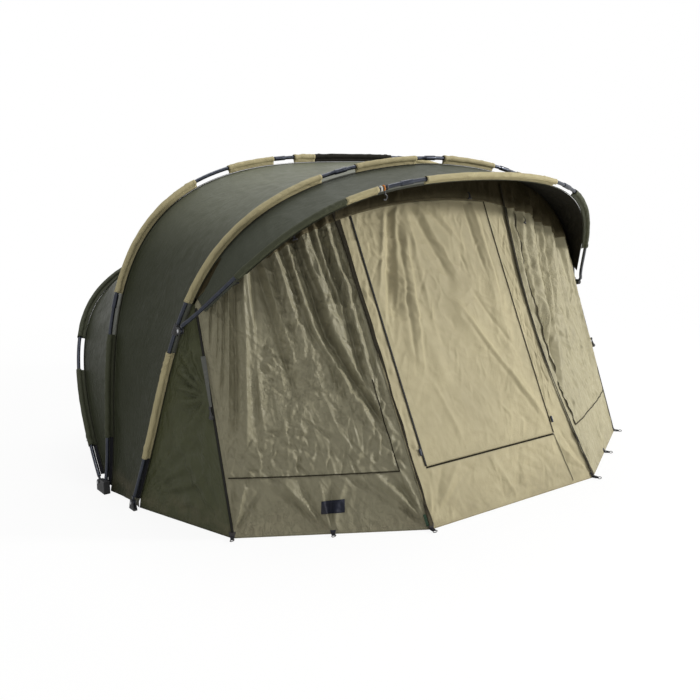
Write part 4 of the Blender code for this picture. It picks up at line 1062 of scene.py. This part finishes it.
def build_bay(name, node, ribs, starts, looks_used, bodies, on, grid, depth, seed, folds, hem_rows=0):
    """The cloth between two ribs, with a look outside and one inside. With hem_rows it runs on down to the
    ground."""
    rib_a, rib_b = ribs
    look, inner = looks_used
    columns, rows = grid
    total = rows + hem_rows * 2
    low = hem_rows / total

    def place(across, up):
        share = kept((up - low) / (1.0 - low * 2))
        point = bay_point(rib_a, rib_b, starts, across, share, depth, seed, folds)
        if hem_rows and not low <= up <= 1.0 - low:
            down = (low - up) / low if up < low else (up - 1.0 + low) / low
            point.z += (HEM_Z - point.z) * down
        return point

    def edge_at(across, up):
        return min(across, 1.0 - across) * (rib_b.canopy(up) - rib_a.canopy(up)).length

    middle = (rib_b.canopy(0.5) - rib_a.canopy(0.5)).length
    length = (rib_a.length + rib_b.length) / 2
    mesh = sheet_mesh(name, columns, total, place, (middle, length), edge_at=edge_at, lined=True)
    piece = finish(mesh, name, look, None, [node])
    mesh.materials.append(looks[inner])
    say_sheet(piece, middle, length, "stretched", on)
    blended(piece, *bodies, [entry.value for entry in mesh.attributes["across"].data])


# Slant, pitch and size of a bay's long folds
SIDE_SLANTS = ((0.9, 0.34, 0.0120), (-1.2, 0.47, 0.0090))
VISOR_SLANTS = ((0.8, 0.30, 0.0025),)
build_bay("middle_canopy_cloth", "middle_bay", (main_rib, front_rib), (0.0, 0.0), ("roof", "side"),
          ("base", "front_rib"), ["main_rib_sleeve_crown_cloth", "front_rib_sleeve_left_crown_cloth"],
          (48, 520), 0.035, 3.0, SIDE_SLANTS, hem_rows=4)
build_bay("rear_canopy_cloth", "rear_bay", (rear_rib, main_rib), (0.006, 0.008), ("roof", "side"),
          ("rear_rib", "base"), ["rear_rib_sleeve_left_cloth", "main_rib_sleeve_crown_cloth"],
          (60, 520), 0.035, 6.0, SIDE_SLANTS)
build_bay("visor_cloth", "visor", (front_rib, peak_rib), (knuckle_share + 0.034, 0.042), ("visor", "lining"),
          ("front_rib", "peak_rib"), ["front_rib_sleeve_left_crown_cloth", "peak_rib_sleeve_crown_cloth"],
          (32, 460), 0.018, 9.0, VISOR_SLANTS)


def rear_hem(share):
    """The rear hem on the ground, straight from peg to peg."""
    angles = [math.radians(180.0 - angle) for angle in REAR_PEG_ANGLES]
    angles += [math.radians(angle) for angle in reversed(REAR_PEG_ANGLES)]
    depth = (HALF_DEPTH - MAIN_FOOT[1]) / math.sin(math.radians(REAR_PEG_ANGLES[-1]))
    width = MAIN_FOOT[0] - STANDOFF
    pegs = [Vector((width * math.cos(a), MAIN_FOOT[1] + depth * math.sin(a), HEM_Z)) for a in angles]
    marks = lengths(pegs)
    return part_way(pegs, marks, share * marks[-1])


REAR_WALL_CUT = (4.2, 1.1)


def build_rear_wall():
    """The wall that closes the back, from the rear rib down to the rear hem."""
    def place(across, up):
        share = 0.014 + (1.0 - 0.028) * across
        top, foot = rear_rib.canopy(share), rear_hem(share)
        top = top + (foot - top).normalized() * SEAM_INSET
        middle = (top + foot) / 2
        span = (top - foot).length
        push = Vector((-middle.x, MAIN_FOOT[1] - middle.y, 0.0))
        sag = push.normalized() * 0.030 * min(span / REAR_TOP[1], 1.0)
        spot = (across * 4.0, up * span)
        height = creased(spot, 0.13, 0.0040, 12.0) * min(span / 0.3, 1.0)
        height += 0.006 * math.sin(across * 150.0 + 3.0 * random_height(*spot, 1.0)) * up * (1.0 - up) * 4
        calm = math.sin(math.pi * up)
        return foot.lerp(top, up) + sag * calm + sag.normalized() * height * calm

    mesh = sheet_mesh("rear_wall_cloth", 400, 90, place, REAR_WALL_CUT)
    piece = finish(mesh, "rear_wall_cloth", "side", "rear_rib", ["rear_wall"])
    say_sheet(piece, *REAR_WALL_CUT, "hung", ["rear_rib_sleeve_left_cloth"])


WING_CUT = (0.62, 1.10)
WING_FOOT = 0.03
FAN_REACH = 0.30
FAN_START = 0.10


def build_wing(side, word, panel):
    """The three-cornered cloth from the front rib's leg to the first seam."""
    seam = panel.line(0.0 if side == LEFT else 1.0)
    foot = Vector((side * (FRONT_FOOT[0] - STANDOFF), FRONT_FOOT[1], HEM_Z))

    def leg(up):
        share = seam_share * up
        return front_rib.canopy(share if side == LEFT else 1.0 - share)

    def place(across, up):
        up = up * PANEL_TOP
        edge = foot.lerp(leg(WING_FOOT), up / WING_FOOT) if up < WING_FOOT else leg(up)
        other = seam[0].lerp(seam[1], up)
        way = (other - edge).normalized()
        span = (other - edge).length
        point = (edge + way * SEAM_INSET).lerp(other - way * GAP, across)
        out = Vector((side * 0.9, -0.35, 0.1)).normalized()
        spot = (across * span, up * 1.05)
        height = creased(spot, 0.10, 0.0080, side * 3.0 + 15.0)
        for aside, above, folds, size in ((span, 0.62, 15.0, 0.0170), (0.0, 0.03, 17.0, 0.0120),
                                          (span, 0.02, 13.0, 0.0130)):
            off_x, off_y = spot[0] - aside, spot[1] - above
            reach = math.hypot(off_x, off_y)
            bend = 0.5 * random_height(*spot, size * 900.0)
            fan = math.sin((math.atan2(off_y, off_x) + bend) * folds)
            height += size * fan * math.exp(-reach / FAN_REACH) * min(reach / FAN_START, 1.0)
        return point + out * height * math.sin(math.pi * across) * min(up * 8.0, (1.0 - up) * 8.0, 1.0)

    mesh = sheet_mesh(f"wing_{word}_cloth", 60, 110, place, (0.45, 1.05))
    piece = finish(mesh, f"wing_{word}_cloth", "side", "front_rib", [f"wing_{word}"])
    say_sheet(piece, *WING_CUT, "stretched", [f"front_rib_sleeve_{word}_lower_cloth"])


build_rear_wall()
build_wing(LEFT, "left", left_panel)
build_wing(RIGHT, "right", right_panel)

# Tapes, zips, dark strips and fittings


def ribbon(name, spots, width, look="dark_strip", body="front_rib", thick=0.0010, crown=0.0, waver=0.0,
           ends=(1.0, 1.0)):
    """A flat tape along spots, each a point and the way its face looks. crown raises its middle, and
    ends are the shares of its width at even steps from end to end."""
    rows = len(spots) - 1
    length = sum((b[0] - a[0]).length for a, b in zip(spots, spots[1:]))

    def place(across, up):
        index = min(int(round(up * rows)), rows)
        point, out = spots[index]
        before, after = spots[max(index - 1, 0)][0], spots[min(index + 1, rows)][0]
        side = (after - before).normalized().cross(out).normalized()
        reached = up * (len(ends) - 1)
        step = min(int(reached), len(ends) - 2)
        off = (across - 0.5) * width * between(ends[step], ends[step + 1], reached - step)
        rise = crown if abs(off) < 0.0030 else 0.0
        wave = waver * random_height(up * length * 7.0, across * 0.5, width * 100.0)
        return point + side * (off + wave) + out * rise

    finish(sheet_mesh(name, 8, rows, place, (width, length), thick), name, look, body)


def run_on(panel, stops, lift, count, folded=True):
    """Spots along straight runs over a panel between (across, level) stops."""
    spots = []
    for (a0, l0), (a1, l1) in zip(stops, stops[1:]):
        for step in range(count + 1):
            share = step / count
            point = panel.at(between(a0, a1, share), between(l0, l1, share), lift, folded)
            if not spots or (point - spots[-1][0]).length > GAP:
                spots.append((point, panel.normal))
    return spots


FIN_EDGE = -0.011


def rib_tape(name, rib, start, end, width, body):
    """A seam tape along the line where the bays meet under a rib."""
    frames = [rib.frame(share) for share in run(start, end, int((end - start) * rib.length / 0.012))]
    ribbon(name, [(point + outward * (-STANDOFF + 0.0026), outward) for point, outward, _ in frames], width,
           "binding", body, thick=0.0008)


def rib_fin(name, rib, start, end, body):
    """A flat strip that stands between the cloth and a bare pole near its foot."""
    frames = [rib.frame(share) for share in run(start, end, max(int((end - start) * rib.length / 0.010), 4))]
    ribbon(name, [(point + outward * (FIN_EDGE - STANDOFF) / 2.0, rib.across) for point, outward, _ in frames],
           FIN_EDGE + STANDOFF, "webbing", body, thick=0.0012)


for name, rib, body, low in (("main", main_rib, "base", 0.004), ("front", front_rib, "front_rib", 0.004),
                             ("rear", rear_rib, "rear_rib", 0.008)):
    rib_tape(f"{name}_rib_seam_tape", rib, low, 1.0 - low, 0.014, body)
    for word, start, end in (("left", low, 0.050), ("right", 0.950, 1.0 - low)):
        rib_fin(f"{name}_rib_foot_fin_{word}", rib, start, end, body)
rib_tape("peak_rib_seam_tape", peak_rib, 0.117, 0.883, 0.012, "peak_rib")


# Sizes of the dark sheet that paints the visor's shadow
SHADOW_SHEET_CUT = (2.9, 0.157)
SHADOW_SHEET_DROP = 0.172
SHADOW_SHEET_END_DROP = 0.012
SHADOW_SHEET_TAPER = 0.16
SHADOW_SHEET_SLACK = 0.0065
SHADOW_SHEET_TURN = 0.30


def build_visor_shadow_sheet():
    """A dark sheet under the front rib with the front panels' tops behind it: painted shadow of the visor,
    turning tan near its lower edge.
    """
    first, last = seam_share + 0.004, 1.0 - seam_share - 0.004
    forward = Vector((0.0, -1.0, 0.25)).normalized()

    def place(across, up):
        share = between(first, last, across)
        panel = right_panel if share >= RIDGES[1] else left_panel if share < RIDGES[0] else middle_panel
        low, high = panel.shares
        aside = kept((share - low) / (high - low))
        foot, top = panel.line(aside)
        drop = SHADOW_SHEET_DROP * min(min(across, 1.0 - across) / SHADOW_SHEET_TAPER, 1.0) + SHADOW_SHEET_END_DROP
        reach = 1.0 - up * drop / (top - foot).length
        slack = SHADOW_SHEET_SLACK + 0.0020 * random_height(across * 60.0, up * 1.5, 4.0)
        point = panel.point(aside, min(reach, PANEL_TOP), slack)
        rib_line = front_rib.at(share, -STANDOFF - 0.0030) + forward * 0.0025
        near = min(up / SHADOW_SHEET_TURN, 1.0)
        return rib_line.lerp(point, near * near * (3.0 - 2.0 * near))

    mesh = sheet_mesh("visor_shadow_sheet", 260, 26, place, SHADOW_SHEET_CUT)
    piece = finish(mesh, "visor_shadow_sheet", "visor_shadow", "front_rib")
    say_sheet(piece, *SHADOW_SHEET_CUT, "hung", ["front_rib_sleeve_left_crown_cloth"])


build_visor_shadow_sheet()

# Zips
ZIP_LIFT = 0.0030
TEETH_RISE = 0.0012
left, right = DOOR_SIDES
door_left = run_on(middle_panel, ((left, 1.004), (left, 1.0 + DOOR_TOP)), ZIP_LIFT, 110, False)
door_right = run_on(middle_panel, ((right, 1.004), (right, 1.0 + DOOR_TOP)), ZIP_LIFT, 110, False)
ribbon("door_zip_left", door_left, ZIP_WIDTH, "zip", crown=TEETH_RISE)
ribbon("door_zip_right", door_right, 0.0045)
ribbon("door_zip_bottom", run_on(middle_panel, ((left, 0.992), (right, 0.992)), ZIP_LIFT, 90, False), 0.0060)
ribbon("door_sill_tape", run_on(middle_panel, ((left, 1.001), (right, 1.001)), -0.0040, 90, False), 0.0160)
for word, panel, (near, far), seam, high, width in (
        ("left", left_panel, COVER_SIDES, 0.006, 1.32, 0.0050),
        ("right", right_panel, [1.0 - side for side in COVER_SIDES], 0.994, 1.86, 0.0100)):
    ribbon(f"cover_edge_bottom_{word}", run_on(panel, ((near, 1.001), (far, 1.001)), 0.0048, 90), 0.0050)
    ribbon(f"cover_edge_inner_{word}", run_on(panel, ((far, 1.0), (far, high)), 0.0052, 150), width)
    ribbon(f"seam_zip_{word}", run_on(panel, ((seam, 0.10), (seam, 1.97)), ZIP_LIFT, 130), ZIP_WIDTH, "zip",
           crown=TEETH_RISE)

# Dark strips on the two ridges
LEFT_RIDGE = ((0.002, 0.06), (0.008, 1.0), (0.008, 1.25), (0.004, 1.50), (-0.004, 1.97))
RIGHT_RIDGE = ((0.006, 0.04), (0.004, 1.0), (0.004, 1.97))
ribbon("ridge_dark_strip_left", run_on(middle_panel, LEFT_RIDGE, 0.0065, 70), 0.036, waver=0.010,
       ends=(0.60, 0.30, 0.22, 0.36, 0.26, 0.48, 0.70, 0.62, 1.0))
ribbon("ridge_dark_strip_right", run_on(right_panel, RIGHT_RIDGE, 0.0070, 110), 0.034, waver=0.012,
       ends=(0.8, 0.5, 0.75, 0.5, 0.9, 1.2))


def build_patch():
    """A bare cloth patch on the left skirt."""
    def place(across, up):
        return left_panel.point(0.466 + 0.122 * across + 0.018 * up, 0.064 + 0.040 * up, 0.0032)

    mesh = sheet_mesh("bare_patch", 24, 12, place, (0.100, 0.055), 0.0010)
    finish(mesh, "bare_patch", "patch", "front_rib")


build_patch()


def build_loop(name, corner, out, body):
    """A peg loop at the hem: a folded tape, its sewn boot and a ring."""
    out = Vector(out).normalized()
    aside = Vector((-out.y, out.x, 0.0))
    base = Vector((corner[0], corner[1], 0.0))
    boot = [(base - out * 0.008 + UP * 0.022 * share + out * 0.012 * (1.0 - share) + UP * 0.006,
             (out + UP * 0.3).normalized()) for share in (0.0, 0.25, 0.5, 0.75, 1.0)]
    ribbon(name + "_boot", boot, 0.030, "patch", body, thick=0.0040, ends=(0.6, 1.0))
    spots = []
    for angle in run(0.0, math.pi, 16):
        reach, height = 0.030 * math.sin(angle), 0.0075 + 0.0045 * math.cos(angle)
        spots.append((base + out * reach + UP * height,
                      (out * math.sin(angle) + UP * math.cos(angle)).normalized()))
    ribbon(name + "_tape", spots, 0.016, "webbing", body, thick=0.0014)
    bm = bmesh.new()
    bmesh.ops.create_circle(bm, segments=10, radius=0.0018)
    bmesh.ops.rotate(bm, verts=bm.verts, matrix=upright_to(aside))
    ring_at = base + out * 0.034 + UP * 0.0080
    bmesh.ops.translate(bm, verts=bm.verts, vec=ring_at + out * 0.0090)
    bmesh.ops.spin(bm, geom=bm.verts[:] + bm.edges[:], cent=ring_at,
                   axis=(aside.cross(out) * 0.96 + aside * 0.28).normalized(), angle=math.tau, steps=28,
                   use_merge=True)
    bmesh.ops.remove_doubles(bm, verts=bm.verts, dist=0.00005)
    bmesh.ops.recalc_face_normals(bm, faces=bm.faces)
    finish(made_mesh(bm, name + "_ring"), name + "_ring", "plastic", body)


def build_toggle(name, panel, across, up):
    """A short elastic with a moulded toggle that ties back the rolled-up cloth."""
    down = (panel.point(across, up - 0.05, 0.0, False) - panel.point(across, up, 0.0, False)).normalized()
    start = panel.point(across, up, 0.030, False)
    spots = [(start + down * 0.034 * share + panel.normal * 0.006 * math.sin(math.pi * share), panel.normal)
             for share in (0.0, 0.2, 0.4, 0.6, 0.8, 1.0)]
    ribbon(name + "_strap", spots, 0.010, "webbing", thick=0.0016)
    across_way = panel.normal.cross(down).normalized()
    bar = [spots[-1][0] + across_way * reach for reach in (-0.012, -0.010, -0.004, 0.004, 0.010, 0.012)]
    tube(name + "_bar", bar, 0.0050, "plastic", "front_rib", radii=(0.6, 1.0, 0.75, 0.75, 1.0, 0.6))


for name, panel, across, up in (
        ("toggle_left", left_panel, 0.725, 0.900), ("toggle_left_low", left_panel, 0.330, 0.895),
        ("toggle_door", middle_panel, 0.725, 0.910), ("toggle_right", right_panel, 0.119, 0.860)):
    build_toggle(name, panel, across, up)


STRAP_ENDS = (0.545, 0.760)
STRAP_LIFT = 0.0195


def build_puller():
    """The grey pull strap that lies along the left seam above the cover's slider."""
    foot, top = left_panel.line(0.0)
    out = left_panel.normal
    spots = [(foot.lerp(top, share) + out * STRAP_LIFT, out) for share in run(*STRAP_ENDS, 24)]
    ribbon("cover_pull_strap", spots, 0.020, "strap", thick=0.0014, waver=0.003, ends=(0.6, 1.0))


build_puller()


def build_peak_fittings():
    """The marked collars and the hook at the peak pole's joint."""
    for name, start, end, look in (("peak_mark_white", 0.3245, 0.3268, "white"),
                                   ("peak_mark_orange", 0.3290, 0.3310, "orange"),
                                   ("peak_mark_black", 0.3330, 0.3355, "plastic")):
        points = [peak_rib.at(share) for share in run(start, end, 4)]
        tube(name, points, 0.0130, look, "peak_rib", radii=(0.85, 1.0, 1.0, 1.0, 0.85))
    base = peak_rib.at(0.331)
    hook = [base - UP * 0.012]
    for turn in run(0.0, math.pi * 1.25, 8):
        hook.append(base + Vector((0.010 * math.sin(turn), -0.004, -0.040 + 0.012 * math.cos(turn))))
    tube("peak_hook", hook, 0.0035, "plastic", "peak_rib")


build_peak_fittings()
tag = run_on(left_panel, ((0.985, 0.06), (0.985, 0.26)), 0.012, 4, False)
ribbon("green_tag", tag, 0.012, "green", thick=0.0016)
side_seam = run_on(middle_panel, ((DOOR_SIDES[1], 0.985), (0.850, 0.55), (0.866, 0.06)), 0.0022, 30)
ribbon("door_skirt_seam", side_seam, 0.0030, "binding", thick=0.0006)

middle_peg = ((CORNER[0] + DOOR_HEM_HALF) / 2.0, (CORNER[1] - HALF_DEPTH) / 2.0)
for side, word, other in ((LEFT, "left", "left_corner left_middle door_left"),
                          (RIGHT, "right", "right_corner right_middle door_right")):
    for name, corner, way in zip(other.split(), (CORNER, middle_peg, (DOOR_HEM_HALF, -HALF_DEPTH)),
                                 ((0.6, -1.0), (0.5, -0.86), (0.25, -1.0))):
        build_loop("peg_" + name, (side * corner[0], corner[1]), (side * way[0], way[1], 0.0), "front_rib")
    for name, share, way in ((word, 0.18, (0.9, 0.4)), (word + "_far", 0.345, (0.5, 0.87)),
                             ("middle_" + word, 0.46, (0.1, 1.0))):
        corner = rear_hem(share if side == LEFT else 1.0 - share)
        build_loop("peg_rear_" + name, corner[:2], (side * way[0], way[1], 0.0), "rear_rib")


# CAD pieces that keep their shape get a better finish

SOLID_LOOKS = {"hub_block": "plastic", "front_foot": "plastic", "knuckle_left": "plastic",
               "knuckle_right": "plastic", "cover_slider": "plastic", "door_slider": "pole", "pin": "pin"}
for node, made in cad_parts.items():
    shade = next((look for word, look in SOLID_LOOKS.items() if word in node), None)
    if shade:
        made.data.materials.clear()
        made.data.materials.append(looks[shade])

# Light and floor


def lamp(name, place, aim, size, power, colour=(1.0, 1.0, 1.0)):
    """A square lamp turned to its aim."""
    data = bpy.data.lights.new(name, "AREA")
    data.size = size
    data.energy = power
    data.color = colour
    made = placed(name, data)
    made.location = place
    made.rotation_euler = (Vector(aim) - Vector(place)).to_track_quat("-Z", "Y").to_euler()


AMBIENT = 0.11
FLOOR_HALF = 30.0


def build_stage():
    """A white surround that lights softly, and a pale floor that keeps the shadow."""
    world = bpy.data.worlds.new("studio")
    world.use_nodes = True
    tree = world.node_tree
    light = tree.nodes["Background"]
    light.inputs["Color"].default_value = (1.0, 1.0, 1.0, 1.0)
    paths = tree.nodes.new("ShaderNodeLightPath")
    shown = None
    for ray in ("Is Camera Ray", "Is Glossy Ray", "Is Transmission Ray"):
        largest = tree.nodes.new("ShaderNodeMath")
        largest.operation = "MAXIMUM"
        tree.links.new(paths.outputs[ray], largest.inputs[0])
        if shown:
            tree.links.new(shown, largest.inputs[1])
        shown = largest.outputs[0]
    strength = tree.nodes.new("ShaderNodeMapRange")
    strength.inputs["To Min"].default_value = AMBIENT
    tree.links.new(shown, strength.inputs["Value"])
    tree.links.new(strength.outputs[0], light.inputs["Strength"])
    bpy.context.scene.world = world

    bm = bmesh.new()
    bmesh.ops.create_grid(bm, x_segments=2, y_segments=2, size=FLOOR_HALF)
    mesh = made_mesh(bm, "floor")
    floor = placed("floor", mesh)
    paint = Paint("pale_floor", (0.86, 0.86, 0.85), 0.9)
    path = paint.node("ShaderNodeLightPath", out="Is Camera Ray")
    glow = paint.node("ShaderNodeEmission", None, {"Color": (1.0, 1.0, 1.0, 1.0), "Strength": 1.0})
    grain = paint.noise(paint.place(), 1.5)
    paint.set("Base Color", paint.mix(grain, (0.86, 0.86, 0.85), (0.88, 0.88, 0.87)))
    far = paint.node("ShaderNodeVectorMath", {"operation": "LENGTH"}, {0: paint.place()}, out=1)
    shown = paint.node("ShaderNodeMixShader", None, {0: path * far.ramp(1.8, 5.0, 0.90, 1.0), 2: glow})
    paint.tree.links.new(paint.shader.outputs[0], shown.socket.node.inputs[1])
    paint.tree.links.new(shown.socket, paint.tree.nodes["Material Output"].inputs["Surface"])
    mesh.materials.append(paint.made)


build_stage()
lamp("key", (7.0, -5.7, 3.6), (0.0, -0.8, 0.7), 1.2, 780.0, (1.0, 0.985, 0.95))
lamp("side", (-3.0, -2.0, 6.2), (-1.2, -0.8, 0.6), 0.7, 50.0)
lamp("top", (0.9, 1.2, 7.0), (0.0, 0.0, 0.8), 3.5, 190.0)
bpy.context.scene.view_settings.view_transform = "Standard"
